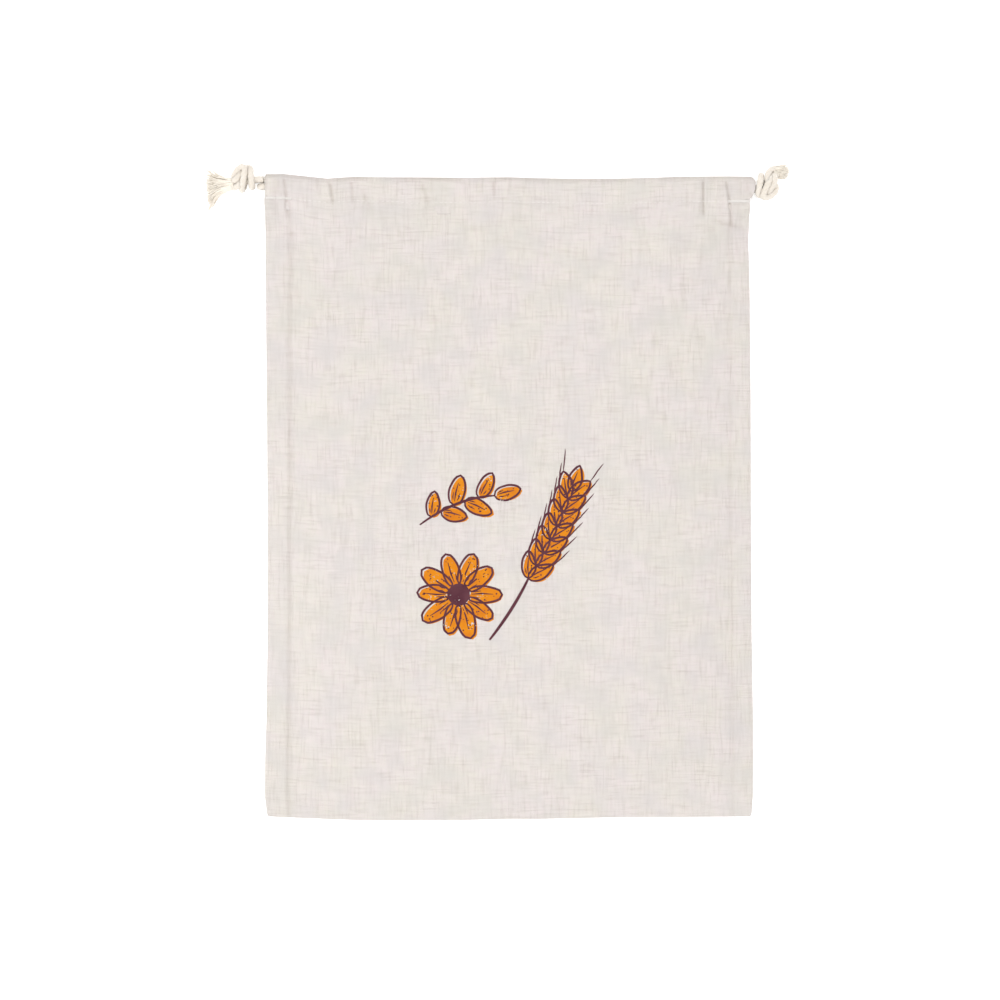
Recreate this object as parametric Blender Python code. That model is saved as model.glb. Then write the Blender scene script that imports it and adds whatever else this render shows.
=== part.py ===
"""A drawstring bread bag of linen cloth, lying on its back with its mouth towards +Y.

The back panel lies flat, the front panel stands a little proud of it over the hollow, and both
panels turn in at the mouth to make the channels that two drawcords run through. Each cord enters
and leaves on its own side, where its two ends are tied together and frayed out.
Sizes are in metres. X runs across the bag, Y up to the mouth, Z up from the surface it lies on.
"""
import math

import bmesh
import bpy
import numpy as np

# Driving sizes of the cloth
WIDTH = 0.300
LENGTH = 0.3966
CLOTH = 0.001
GAP = 0.0003
CORD = 0.004
CHANNEL_DEPTH = 0.0155
CORD_SLACK = 0.0019
CORD_OUT = 0.0004

# Forms that follow from them
CHANNEL_HOLE = CORD + 2 * GAP
CHANNEL = CHANNEL_HOLE + 2 * CLOTH
CHANNEL_FLAT = CORD + CORD_SLACK
TOP = LENGTH / 2
CHANNEL_BACK = CHANNEL / 2 + CHANNEL_FLAT
CORD_ROW = CORD / 2 + GAP / 2
CORD_LIFT = CHANNEL_FLAT / 2 - CORD_ROW
NECK_RISE = 3 * CHANNEL / 2 - 2 * CLOTH

# How the front panel stands over the hollow
MOUTH_GAP = 0.0052
BODY_GAP = CHANNEL - CLOTH + MOUTH_GAP
SIDE_RUN = 0.070
BOTTOM_RUN = 0.085
NECK_RUN = 0.050
SEAM_NECK_RUN = 0.010
SEAM_RUN = 0.045
CHANNEL_FOLD = 0.0005
BODY_FOLD = 0.0020

# Side edges as they lie: height above the bottom, x of the left edge, x of the right edge
SIDES = np.array([
    (0.0000, -0.1488, 0.1494),
    (0.0010, -0.1495, 0.1500),
    (0.0030, -0.1500, 0.1503),
    (0.0065, -0.1502, 0.1505),
    (0.0120, -0.1510, 0.1509),
    (0.0360, -0.1508, 0.1511),
    (0.0605, -0.1500, 0.1510),
    (0.1100, -0.1493, 0.1502),
    (0.1840, -0.1492, 0.1498),
    (0.2580, -0.1498, 0.1496),
    (0.3320, -0.1505, 0.1489),
    (0.3565, -0.1505, 0.1481),
    (0.3790, -0.1511, 0.1489),
    (0.3815, -0.1509, 0.1485),
    (0.3830, -0.1506, 0.1472),
    (0.3966, -0.1502, 0.1464),
])

# Mouth edge and bottom edge as they lie: x, how far the mouth edge and the bottom edge stand up
ENDS = np.array([
    (-0.151, 0.0012, 0.0010),
    (-0.139, 0.0012, 0.0004),
    (-0.124, -0.0005, -0.0002),
    (-0.112, -0.0018, -0.0008),
    (-0.094, -0.0006, -0.0014),
    (-0.079, -0.0010, -0.0015),
    (-0.028, -0.0013, -0.0014),
    (0.000, -0.0010, -0.0007),
    (0.017, -0.0016, -0.0008),
    (0.040, -0.0020, -0.0002),
    (0.068, -0.0019, 0.0004),
    (0.092, -0.0012, 0.0005),
    (0.105, -0.0007, 0.0005),
    (0.135, -0.0003, 0.0007),
    (0.151, -0.0004, 0.0010),
])

# Soft folds of the front panel: x and y of one end, x and y of the other, half width, height
FOLDS = np.array([
    (-0.1355, -0.190, -0.1350, 0.172, 0.0045, -0.0006),
    (0.1380, -0.190, 0.1360, 0.165, 0.0045, -0.0004),
    (-0.1370, 0.172, -0.1370, 0.198, 0.0040, -0.0011),
    (-0.1090, 0.176, -0.1100, 0.198, 0.0045, -0.0008),
    (-0.0500, 0.174, -0.0560, 0.192, 0.0050, -0.0007),
    (-0.0360, 0.130, -0.0400, 0.178, 0.0100, -0.0009),
    (-0.0090, 0.180, -0.0100, 0.198, 0.0050, -0.0006),
    (0.1190, 0.166, 0.1200, 0.198, 0.0040, -0.0013),
    (0.1370, 0.158, 0.1330, 0.192, 0.0045, -0.0010),
    (0.0600, 0.172, 0.1380, 0.146, 0.0080, 0.0011),
    (0.0780, 0.150, 0.1400, 0.132, 0.0090, -0.0009),
])

# Grid lines of the panels: column step and row step, then the closer ones at the edges
FRONT_GRID = (0.0094, 0.0135)
BACK_GRID = (0.020, 0.024)
EDGE_INSETS = (0.0, 0.0025, 0.0070)
SEAM_ROWS = 3
MOUTH_ANGLES = (25, 50, 78)
TOUCH = 1e-7

# Points along the tunnels and the cords
TUNNEL_POINTS = 42
TUNNEL_PAST = 0.006
CORD_POINTS = 33
BIGHT_ANGLES = np.linspace(22.5, 157.5, 7)

# The strand pair of a knot: its middle along the way out, up the bag and up from the knot's middle,
# then the same for the way from one strand to the other. Lengths are in cord diameters.
KNOT = np.array([
    (-0.60, -0.25, -0.05, 0.0, 0.1, 1.0),
    (0.40, -0.35, -0.10, 0.0, 0.0, 1.0),
    (1.20, -0.45, -0.15, 0.2, 0.0, 1.0),
    (1.55, 0.25, -0.10, 0.3, 0.1, 0.9),
    (1.10, 1.15, 0.20, 0.3, 0.3, 0.9),
    (0.25, 1.75, 0.60, 0.5, 0.2, 0.8),
    (-0.40, 1.60, 1.10, 0.85, 0.0, 0.3),
    (-0.42, 0.60, 1.50, 1.0, 0.0, 0.0),
    (-0.36, -0.60, 1.45, 1.35, -0.1, 0.0),
    (-0.32, -1.35, 0.75, 1.6, -0.4, 0.0),
    (-0.32, -1.40, -0.50, 1.5, -0.4, 0.0),
    (-0.40, -0.80, -1.40, 1.2, -0.2, 0.0),
    (-0.35, 0.30, -1.40, 1.0, 0.0, 0.0),
    (-0.10, 1.00, -0.90, 0.9, 0.2, 0.2),
    (0.30, 0.75, -0.10, 0.3, 0.8, 0.3),
    (0.75, 0.15, 0.80, 0.0, 1.0, 0.2),
])
KNOT_SQUASH = 0.86
KNOT_STEP = CORD / 2.5
KNOT_VOXEL = 0.0008
KNOT_FACES = 0.28
PRESSED = 0.7

# Where the pair leaves the knot, in the same lengths; its strands lie side by side there
LEFT_EXIT = ((1.20, -0.60, 1.20), (1.75, -0.82, 0.75), (2.20, -0.82, 0.72))
RIGHT_EXIT = (
    (0.65, -0.65, 1.20), (0.38, -1.41, 1.20), (0.42, -2.04, 0.85), (0.70, -2.33, 0.60), (1.00, -2.43, 0.60),
)

# Frayed cord ends: how far out of the bag and how far up the bag their upper and lower corner lie,
# how far their outer edge bulges, and how high their lowest and highest yarns end
LEFT_FRAY = (0.1876, 0.2030, 0.1866, 0.1770, 0.0, 0.0005, 0.0045)
RIGHT_FRAY = (0.1712, 0.2058, 0.1712, 0.1964, 0.0018, 0.0035, 0.0090)
LEFT_YARNS = (7, 3)
RIGHT_YARNS = (6, 3)
HEAD = (0.0030, 0.0080, 0.0048)
HEAD_CLEAR = 0.0009
HEAD_BEND = 0.45
TIP_UNEVEN = 0.0007

# A yarn's rings: share of the way from head to tip, size as a share of its cell of the head
YARN_RINGS = ((0.0, 0.78), (0.4, 0.72), (0.75, 0.66), (1.0, 0.40))


def clear_scene():
    """Take away whatever the file holds."""
    for item in list(bpy.data.objects):
        bpy.data.objects.remove(item, do_unlink=True)


def finish(name, red, green, blue, roughness):
    """A plain cloth or yarn finish."""
    material = bpy.data.materials.new(name)
    material.use_nodes = True
    shader = material.node_tree.nodes["Principled BSDF"]
    shader.inputs["Base Color"].default_value = (red, green, blue, 1)
    shader.inputs["Roughness"].default_value = roughness
    shader.inputs["Metallic"].default_value = 0
    return material


def place(name, mesh, material):
    """Put a mesh into the scene as a named piece."""
    item = bpy.data.objects.new(name, mesh)
    bpy.context.scene.collection.objects.link(item)
    mesh.materials.append(material)
    return item


def ease(value):
    """From 0 to 1, level at both ends."""
    t = np.clip(value, 0, 1)
    return t * t * (3 - 2 * t)


def swell(value):
    """From 0 to 1, steep at first and level at the end, as a pillow rises from its seam."""
    return np.sin(math.pi / 2 * np.clip(value, 0, 1))


def mouth_edge(x):
    return TOP + np.interp(x, ENDS[:, 0], ENDS[:, 1])


def channel_line(x):
    """The middle of the cord channel."""
    return mouth_edge(x) - CHANNEL / 2 - CHANNEL_FLAT / 2


def cord_line(x, row):
    """One of the two cords that share a channel: both are drawn up against the mouth's fold."""
    return channel_line(x) + CORD_LIFT + row * CORD_ROW


def stitch_line(x):
    return mouth_edge(x) - CHANNEL_DEPTH


def folds(x, y):
    """The soft folds' height: a bell across each line, which fades at its ends."""
    total = np.zeros_like(x)
    for x0, y0, x1, y1, half_width, height in FOLDS:
        run = np.hypot(x1 - x0, y1 - y0)
        along = ((x - x0) * (x1 - x0) + (y - y0) * (y1 - y0)) / run
        off = ((x - x0) * (y1 - y0) - (y - y0) * (x1 - x0)) / run
        past = np.maximum(0, np.maximum(-along, along - run))
        total += height * np.exp(-(off / half_width) ** 2 - (past / (2 * half_width)) ** 2)
    return total


def across(x):
    """From 0 at the side seams to 1 well inside them."""
    return swell((WIDTH / 2 - np.abs(x)) / SIDE_RUN)


def neck(x, y):
    """From 0 in the body to 1 at the stitches, in a shorter run where the side seams hold it down."""
    run = SEAM_NECK_RUN + (NECK_RUN - SEAM_NECK_RUN) * ease((WIDTH / 2 - np.abs(x)) / SEAM_RUN)
    return ease((y - stitch_line(x) + run) / run)


def hollow(x, y):
    """How far the front panel stands over the layer below it, folds left out."""
    up = swell((y + TOP) / BOTTOM_RUN)
    return (BODY_GAP + (MOUTH_GAP - BODY_GAP) * neck(x, y)) * across(x) * up


def channel_middle(x):
    """Height of the middle of the front channel."""
    return CHANNEL + GAP + MOUTH_GAP * across(x) + CHANNEL / 2


def half_channel(x, y):
    """Half the channel's height: two layers of cloth at the stitches, round at the mouth edge."""
    from_edge = mouth_edge(x) - y
    turn = np.clip(CHANNEL / 2 - from_edge, 0, CHANNEL / 2)
    edge = np.sqrt((CHANNEL / 2) ** 2 - turn ** 2)
    seam = ease((CHANNEL_DEPTH - from_edge) / (CHANNEL_DEPTH - CHANNEL_BACK))
    return CLOTH + (edge - CLOTH) * seam


def front_layer(x, y):
    """The front panel's lower and upper face."""
    under = CLOTH + GAP + neck(x, y) * NECK_RISE + hollow(x, y)
    half = half_channel(x, y)
    in_channel = y > stitch_line(x) - TOUCH
    rest = np.where(in_channel, CHANNEL + GAP, CLOTH + GAP)
    low = np.where(in_channel, channel_middle(x) - half, under)
    high = np.where(in_channel, channel_middle(x) + half, under + CLOTH)
    most = np.where(in_channel, CHANNEL_FOLD, BODY_FOLD)
    bend = np.maximum(np.clip(folds(x, y), -most, most), rest - low)
    return low + bend, high + bend


def back_layer(x, y):
    """The back panel's lower and upper face: flat below, with its channel standing up."""
    half = half_channel(x, y)
    turned = mouth_edge(x) - y < CHANNEL / 2
    in_channel = y > stitch_line(x) - TOUCH
    low = np.where(turned, CHANNEL / 2 - half, 0)
    return low, np.where(in_channel, low + 2 * half, CLOTH)


def lines(length, step):
    """Grid lines from 0 to a length, closer together near both ends."""
    inner = np.linspace(EDGE_INSETS[-1], length - EDGE_INSETS[-1], round(length / step))
    near = np.array(EDGE_INSETS[:-1])
    return np.concatenate([near, inner, (length - near)[::-1]])


def panel(name, layer, grid, material):
    """A sheet with an even grid on both faces and a narrow wall round its edge."""
    column_step, row_step = grid
    share = lines(WIDTH, column_step) / WIDTH
    body = lines(LENGTH - CHANNEL_DEPTH, row_step)
    seam = LENGTH - np.linspace(CHANNEL_DEPTH, CHANNEL_BACK, SEAM_ROWS + 1)[1:]
    roll = [CHANNEL / 2 * (1 - math.sin(math.radians(angle))) for angle in MOUTH_ANGLES]
    ridge = LENGTH - np.array([CHANNEL / 2] + roll)
    up = np.concatenate([body, seam, ridge])
    left, right = (np.interp(up, SIDES[:, 0], SIDES[:, k])[:, None] for k in (1, 2))
    x = left + (right - left) * share
    top, bottom = (np.interp(x, ENDS[:, 0], ENDS[:, k]) for k in (1, 2))
    up = up[:, None]
    y = -TOP + up + bottom + (top - bottom) * ease(up / LENGTH)
    y = np.where(up > LENGTH - CHANNEL_DEPTH - TOUCH, mouth_edge(x) - (LENGTH - up), y)
    low, high = layer(x, y)
    rows, columns = x.shape
    points = np.concatenate([np.stack([x, y, z], -1).reshape(-1, 3) for z in (low, high)])
    index = np.arange(rows * columns).reshape(rows, columns)
    cell = np.stack([index[:-1, :-1], index[:-1, 1:], index[1:, 1:], index[1:, :-1]], -1)
    cell = cell.reshape(-1, 4)
    count = rows * columns
    ring = np.concatenate([index[0, :-1], index[:-1, -1], index[-1, :0:-1], index[:0:-1, 0]])
    after = np.roll(ring, -1)
    wall = np.stack([ring, after, after + count, ring + count], -1)
    mesh = bpy.data.meshes.new(name)
    mesh.from_pydata(points.tolist(), [], np.concatenate([cell[:, ::-1], cell + count, wall]).tolist())
    mesh.shade_smooth()
    return place(name, mesh, material)


def cut_channel(item, middle):
    """Cut the tunnel that the cords run through, along the channel's line from side to side."""
    past = WIDTH / 2 + TUNNEL_PAST
    x = np.linspace(-past, past, TUNNEL_POINTS)
    turn = np.radians(np.arange(-90, 91, 30))
    radius = CHANNEL_HOLE / 2
    front = np.stack([CHANNEL_FLAT / 2 + radius * np.cos(turn), radius * np.sin(turn)], -1)
    section = np.concatenate([front, -front])
    sides = len(section)
    points = np.stack([
        np.repeat(x, sides),
        (channel_line(x)[:, None] + section[:, 0]).ravel(),
        (middle(x)[:, None] + section[:, 1]).ravel(),
    ], -1)
    index = np.arange(len(points)).reshape(-1, sides)
    after = np.roll(index, -1, axis=1)
    quads = np.stack([index[:-1], after[:-1], after[1:], index[1:]], -1).reshape(-1, 4)
    faces = quads[:, ::-1].tolist() + [index[0].tolist(), index[-1, ::-1].tolist()]
    mesh = bpy.data.meshes.new(item.name + "_tunnel")
    mesh.from_pydata(points.tolist(), [], faces)
    form = bmesh.new()
    form.from_mesh(mesh)
    bmesh.ops.recalc_face_normals(form, faces=form.faces)
    form.to_mesh(mesh)
    form.free()
    cutter = bpy.data.objects.new(mesh.name, mesh)
    bpy.context.scene.collection.objects.link(cutter)
    cutter.hide_render = True
    cutter.display_type = "WIRE"
    cut = item.modifiers.new("tunnel", "BOOLEAN")
    cut.operation = "DIFFERENCE"
    cut.solver = "EXACT"
    cut.object = cutter


def smooth_route(points, step):
    """Even points along a smooth curve through the given ones."""
    points = np.asarray(points, float)
    ends = np.concatenate([[2 * points[0] - points[1]], points, [2 * points[-1] - points[-2]]])
    t = np.linspace(0, 1, 12, endpoint=False)[:, None]
    pieces = []
    for a, b, c, d in zip(ends, ends[1:], ends[2:], ends[3:]):
        pieces.append(b + 0.5 * t * (c - a + t * (2 * a - 5 * b + 4 * c - d + t * (3 * b - a - 3 * c + d))))
    dense = np.concatenate(pieces + [points[-1:]])
    way = np.concatenate([[0], np.cumsum(np.linalg.norm(np.diff(dense, axis=0), axis=1))])
    even = np.linspace(0, way[-1], max(3, round(way[-1] / step)))
    return np.stack([np.interp(even, way, dense[:, k]) for k in range(3)], -1)


def tube(name, route, diameter, material):
    """A round cord along a route, with closed ends."""
    curve = bpy.data.curves.new(name, "CURVE")
    curve.dimensions = "3D"
    curve.bevel_depth = diameter / 2
    curve.bevel_resolution = 2
    curve.use_fill_caps = True
    spline = curve.splines.new("POLY")
    spline.points.add(len(route) - 1)
    for point, at in zip(spline.points, route):
        point.co = (*at, 1)
    return place(name, curve, material)


class Side:
    """One side of the bag: which way is out, and how its knot lies.

    Flip is -1 where the knot is tied upside down, turn leans it, and row is 1 or -1 for the
    upper or lower of the two cords that share a channel.
    """

    def __init__(self, out, knot_x, knot_y, flip, turn, row, way_out):
        self.out = out
        lowest = -KNOT[:, 2].min() * KNOT_SQUASH + 0.5
        self.middle = np.array([knot_x, knot_y, lowest * CORD + GAP])
        self.flip = flip
        self.turn = math.radians(turn)
        self.row = row
        self.way_out = np.array(way_out)

    def turned(self, local):
        """A direction or length of the knot, in cord diameters, as one in the scene."""
        along, up, high = (np.asarray(local, float) * CORD).T
        cos, sin = math.cos(self.turn), math.sin(self.turn)
        up = self.flip * up
        return np.stack([self.out * (along * cos - up * sin), along * sin + up * cos, high * KNOT_SQUASH], -1)

    def edge(self):
        """X of the panels' edge beside the cords."""
        return np.interp(LENGTH - CHANNEL_BACK, SIDES[:, 0], SIDES[:, 1 if self.out < 0 else 2])

    def strand(self, which):
        """The route of one strand of the pair: 1 comes from the front channel, -1 from the back.

        It passes the other cord's bight, makes the knot and leaves it.
        """
        x = self.edge() + self.out * np.array([CORD_OUT + 2 * GAP, bight_reach() + CORD / 2])
        y = cord_line(x, self.row)
        first = channel_middle(x[0]) if which > 0 else CHANNEL / 2
        z = np.array([first, self.middle[2] + which * PRESSED * CORD])
        away, up = np.gradient(self.way_out[:, :2], axis=0).T
        beside = np.stack([-up, away, 0 * up], -1) / np.hypot(away, up)[:, None]
        local = np.concatenate([KNOT[:, :3], self.way_out])
        local = local + which * 0.5 * np.concatenate([KNOT[:, 3:], beside])
        return np.concatenate([np.stack([x, y, z], -1), self.middle + self.turned(local)])

    def leaving(self):
        """Where the pair ends, and its level direction there."""
        last = self.middle + self.turned(self.way_out[-2:])
        way = (last[1] - last[0]) * [1, 1, 0]
        return last[1], way / np.linalg.norm(way)


def bight_reach():
    """Half the height between the two channels' middles at the sides."""
    return (channel_middle(WIDTH / 2) - CHANNEL / 2) / 2


LEFT = Side(-1, -0.1630, 0.1965, flip=1, turn=0, row=1, way_out=LEFT_EXIT)
RIGHT = Side(1, 0.1586, 0.1926, flip=-1, turn=-16, row=-1, way_out=RIGHT_EXIT)


def drawcord(name, side, far_side, material):
    """From its knot through the front channel, round the far side, and back behind."""
    x = np.linspace(side.edge() + side.out * CORD_OUT, far_side.edge(), CORD_POINTS)
    y = cord_line(x, side.row)
    front = np.stack([x, y, channel_middle(x)], -1)
    back = np.stack([x, y, np.full_like(x, CHANNEL / 2)], -1)[::-1]
    reach = (front[-1, 2] - back[0, 2]) / 2
    angle = np.radians(BIGHT_ANGLES)
    bight = np.stack([
        front[-1, 0] + far_side.out * reach * np.sin(angle),
        np.full_like(angle, front[-1, 1]),
        (front[-1, 2] + back[0, 2]) / 2 + reach * np.cos(angle),
    ], -1)
    return tube(name, np.concatenate([front, bight, back]), CORD, material)


def knot(name, side, material):
    """An overhand knot in the doubled cord, its strands pressed together into one form."""
    strands = [tube(name + "_strand", smooth_route(side.strand(k), KNOT_STEP), CORD, material)
               for k in (1, -1)]
    graph = bpy.context.evaluated_depsgraph_get()
    form = bmesh.new()
    for strand in strands:
        form.from_mesh(strand.evaluated_get(graph).to_mesh())
    mesh = bpy.data.meshes.new(name)
    form.to_mesh(mesh)
    form.free()
    for strand in strands:
        bpy.data.objects.remove(strand, do_unlink=True)
    item = place(name, mesh, material)
    press = item.modifiers.new("press", "REMESH")
    press.mode = "VOXEL"
    press.voxel_size = KNOT_VOXEL
    thin = item.modifiers.new("thin", "DECIMATE")
    thin.ratio = KNOT_FACES
    return item


def frayed_end(name, side, fray, yarns, seed, material):
    """The two cord ends frayed out: a short head whose end face grows four-sided yarns.

    Yarns gives how many lie side by side and how many above each other.
    """
    beside, above = yarns
    length, width, height = HEAD
    root, way = side.leaving()
    wide = np.cross([0, 0, 1], way) * side.out
    grid = np.array([[root + wide * width * (i / beside - 0.5) + [0, 0, height * (j / above - 0.5)]
                      for j in range(above + 1)] for i in range(beside + 1)])
    form = bmesh.new()
    start, stop = ([[form.verts.new(p) for p in row] for row in grid + way * reach]
                   for reach in (HEAD_CLEAR, HEAD_CLEAR + length))
    cells = [(i, j) for i in range(beside) for j in range(above)]
    for i, j in cells:
        form.faces.new([start[i][j], start[i][j + 1], start[i + 1][j + 1], start[i + 1][j]])
    border = [(i, 0) for i in range(beside)] + [(beside, j) for j in range(above)]
    border += [(i, above) for i in range(beside, 0, -1)] + [(0, j) for j in range(above, 0, -1)]
    for (i, j), (k, m) in zip(border, border[1:] + border[:1]):
        form.faces.new([start[i][j], start[k][m], stop[k][m], stop[i][j]])
    tips = yarn_tips(side, fray, yarns, np.random.default_rng(seed))
    for i, j in cells:
        cell = [stop[i][j], stop[i + 1][j], stop[i + 1][j + 1], stop[i][j + 1]]
        grow_yarn(form, cell, way, tips[i, j])
    bmesh.ops.recalc_face_normals(form, faces=form.faces)
    mesh = bpy.data.meshes.new(name)
    form.to_mesh(mesh)
    form.free()
    return place(name, mesh, material)


def yarn_tips(side, fray, yarns, draw):
    """Where the yarns end: spread along the fray's outer edge, each a little short of it."""
    top_x, top_y, low_x, low_y, bulge, lowest, highest = fray
    beside, above = yarns
    share = ((np.arange(beside) + 0.5) / beside)[:, None]
    short = draw.uniform(0, 2 * TIP_UNEVEN, (beside, above))
    out = low_x + (top_x - low_x) * share + bulge * (1 - (2 * share - 1) ** 2) - short
    y = low_y + (top_y - low_y) * share + draw.uniform(-TIP_UNEVEN, TIP_UNEVEN, (beside, above)) / 2
    z = np.broadcast_to(np.linspace(lowest, highest, above), y.shape)
    return np.stack([side.out * out, y, z], -1)


def grow_yarn(form, cell, way, tip):
    """One yarn from its cell of the head to its tip.

    It follows a quadratic curve that leaves the head along its way and comes level at the tip.
    Each ring is a smaller copy of the cell, turned about the upright with the curve.
    """
    corners = np.array([v.co for v in cell])
    middle = corners.mean(axis=0)
    bend = middle + way * HEAD_BEND * np.linalg.norm(tip - middle)
    bend[2] = tip[2]
    last = cell
    for t, size in YARN_RINGS:
        at = (1 - t) ** 2 * middle + 2 * t * (1 - t) * bend + t * t * tip
        tangent = (1 - t) * (bend - middle) + t * (tip - bend)
        angle = math.atan2(tangent[1], tangent[0]) - math.atan2(way[1], way[0])
        cos, sin = math.cos(angle), math.sin(angle)
        turned = (corners - middle) @ np.array([[cos, sin, 0], [-sin, cos, 0], [0, 0, 1]])
        ring = [form.verts.new(p) for p in at + turned * size]
        for k in range(4):
            form.faces.new([last[k], last[(k + 1) % 4], ring[(k + 1) % 4], ring[k]])
        last = ring
    form.faces.new(last)


def main():
    clear_scene()
    cloth = finish("linen_cloth", 0.81, 0.76, 0.71, 0.9)
    yarn = finish("cotton_cord", 0.83, 0.78, 0.68, 0.95)
    back = panel("back_panel", back_layer, BACK_GRID, cloth)
    cut_channel(back, lambda x: np.full_like(x, CHANNEL / 2))
    front = panel("front_panel", front_layer, FRONT_GRID, cloth)
    cut_channel(front, channel_middle)
    drawcord("left_cord", LEFT, RIGHT, yarn)
    drawcord("right_cord", RIGHT, LEFT, yarn)
    knot("left_knot", LEFT, yarn)
    knot("right_knot", RIGHT, yarn)
    frayed_end("left_tail", LEFT, LEFT_FRAY, LEFT_YARNS, 1, yarn)
    frayed_end("right_tail", RIGHT, RIGHT_FRAY, RIGHT_YARNS, 2, yarn)


main()
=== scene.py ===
# %% [markdown]
# # A drawstring bread bag in linen cloth
#
# The bag lies face up on a pale table. It is two sheets of plain weave, sewn together down the
# sides and turned in at the mouth so that two soft cords can run through the turned edge. This
# notebook builds what the eye sees: the cloth with its small creases, the cords, the two tied
# knots with their frayed ends, the stitches, and a print of wheat, a daisy and a sprig.
#
# The frame that we load first holds the plain solids. Everything new has to sit where they are.

# %% Load the frame
import math

import bpy
import numpy as np
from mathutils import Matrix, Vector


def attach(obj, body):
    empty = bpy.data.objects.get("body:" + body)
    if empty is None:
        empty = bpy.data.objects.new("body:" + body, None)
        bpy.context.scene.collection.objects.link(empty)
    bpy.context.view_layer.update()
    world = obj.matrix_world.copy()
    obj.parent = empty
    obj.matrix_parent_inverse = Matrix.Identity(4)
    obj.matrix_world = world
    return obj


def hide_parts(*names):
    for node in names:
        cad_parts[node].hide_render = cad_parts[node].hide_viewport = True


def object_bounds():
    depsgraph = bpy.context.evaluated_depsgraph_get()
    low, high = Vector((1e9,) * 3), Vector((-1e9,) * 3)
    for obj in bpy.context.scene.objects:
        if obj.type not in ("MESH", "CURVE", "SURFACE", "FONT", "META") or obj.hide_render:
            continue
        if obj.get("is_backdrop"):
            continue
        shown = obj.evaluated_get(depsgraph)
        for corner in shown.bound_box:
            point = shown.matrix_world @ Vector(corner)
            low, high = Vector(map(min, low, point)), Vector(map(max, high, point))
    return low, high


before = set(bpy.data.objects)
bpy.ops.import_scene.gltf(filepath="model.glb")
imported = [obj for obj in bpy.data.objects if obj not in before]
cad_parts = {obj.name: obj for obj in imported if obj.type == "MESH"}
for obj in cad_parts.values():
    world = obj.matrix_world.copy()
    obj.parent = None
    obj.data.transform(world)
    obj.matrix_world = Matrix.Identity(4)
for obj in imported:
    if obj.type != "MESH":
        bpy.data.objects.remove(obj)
cad_low, cad_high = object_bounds()
print("solids:", sorted(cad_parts))

# %% [markdown]
# ## Camera and light
#
# The bag was seen from straight above through a long lens, so its sides look parallel. A short
# lens would make the raised middle look larger than the edges. We choose the lens, then work out
# how high the camera has to hang for one picture width to cover the right width of table.
#
# Undyed linen shows its weave by light that comes from low down on one side, but most of the
# light here is soft and from above. So there is one large panel overhead, a weaker one low at the
# left, and an even pale surrounding.

# %% Camera
PIXEL = 0.300 / 486
PICTURE_SIDE = 1000
BAG_MIDDLE_PX = (508.95, 497.25)
BAG_MIDDLE_HEIGHT = 0.010
LENS_MM, SENSOR_MM = 200, 36

view_width = PICTURE_SIDE * PIXEL
camera_height = BAG_MIDDLE_HEIGHT + view_width * LENS_MM / SENSOR_MM
camera = bpy.data.objects.new("camera", bpy.data.cameras.new("camera"))
bpy.context.scene.collection.objects.link(camera)
camera.data.lens = LENS_MM
camera.data.sensor_width = SENSOR_MM
camera.data.clip_end = 10
camera.location = (
    (PICTURE_SIDE / 2 - BAG_MIDDLE_PX[0]) * PIXEL,
    (BAG_MIDDLE_PX[1] - PICTURE_SIDE / 2) * PIXEL,
    camera_height,
)
bpy.context.scene.camera = camera
print(f"camera {camera_height:.3f} m up sees {view_width:.3f} m of table")


# %% Light
def light_panel(name, side, power, place, aim=(0, 0, 0)):
    """A square soft light that faces the point aim."""
    lamp = bpy.data.lights.new(name, "AREA")
    lamp.size = side
    lamp.energy = power
    item = bpy.data.objects.new(name, lamp)
    item.location = place
    away = np.array(place, float) - aim
    item.rotation_mode = "QUATERNION"
    item.rotation_quaternion = Vector(away).to_track_quat("Z", "Y")
    bpy.context.scene.collection.objects.link(item)


light_panel("overhead", 2.6, 30, (0.25, 0.2, 2.0))
light_panel("low_left", 0.7, 6.5, (-1.25, -0.75, 0.75))
world = bpy.data.worlds.new("pale_room")
world.use_nodes = True
world.node_tree.nodes["Background"].inputs["Color"].default_value = (1, 1, 1, 1)
world.node_tree.nodes["Background"].inputs["Strength"].default_value = 0.95
bpy.context.scene.world = world
bpy.context.scene.view_settings.view_transform = "Standard"

# %% [markdown]
# ## Helpers: grids of points into meshes
#
# Every new surface here is a grid: rows and columns of points worked out at once by numpy. One
# helper turns such a grid into a mesh with its cloth coordinates as a UV map, so that a weave can
# follow the cloth round a turned edge. Another one carries a round section along a route, which
# gives the cords, the loose yarns and the stitches.


# %% Grid to mesh
def grid_faces(rows, columns, round_columns=False):
    """Four-sided faces between the points of one grid, whose index rises along its columns."""
    index = np.arange(rows * columns).reshape(rows, columns)
    after = np.roll(index, -1, axis=1)
    if not round_columns:
        index, after = index[:, :-1], after[:, :-1]
    return np.stack([index[:-1], after[:-1], after[1:], index[1:]], -1).reshape(-1, 4)


def ring_angles(sides):
    """Even angles once round."""
    return np.arange(sides) * math.tau / sides


def carried(route, one, two, angle, radius):
    """Points of a round section carried along a route, one ring for each of the route's points.

    A ring's point is the route's point, plus the first direction times the radius and the angle's
    cosine, plus the second direction times the radius and the angle's sine.
    """
    out = one[..., None, :] * np.cos(angle)[:, None] + two[..., None, :] * np.sin(angle)[:, None]
    return route[..., None, :] + radius[..., None] * out


def distances(route):
    """How far along the route each of its points is."""
    return np.concatenate([[0], np.cumsum(np.linalg.norm(np.diff(route, axis=0), axis=1))])


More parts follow.
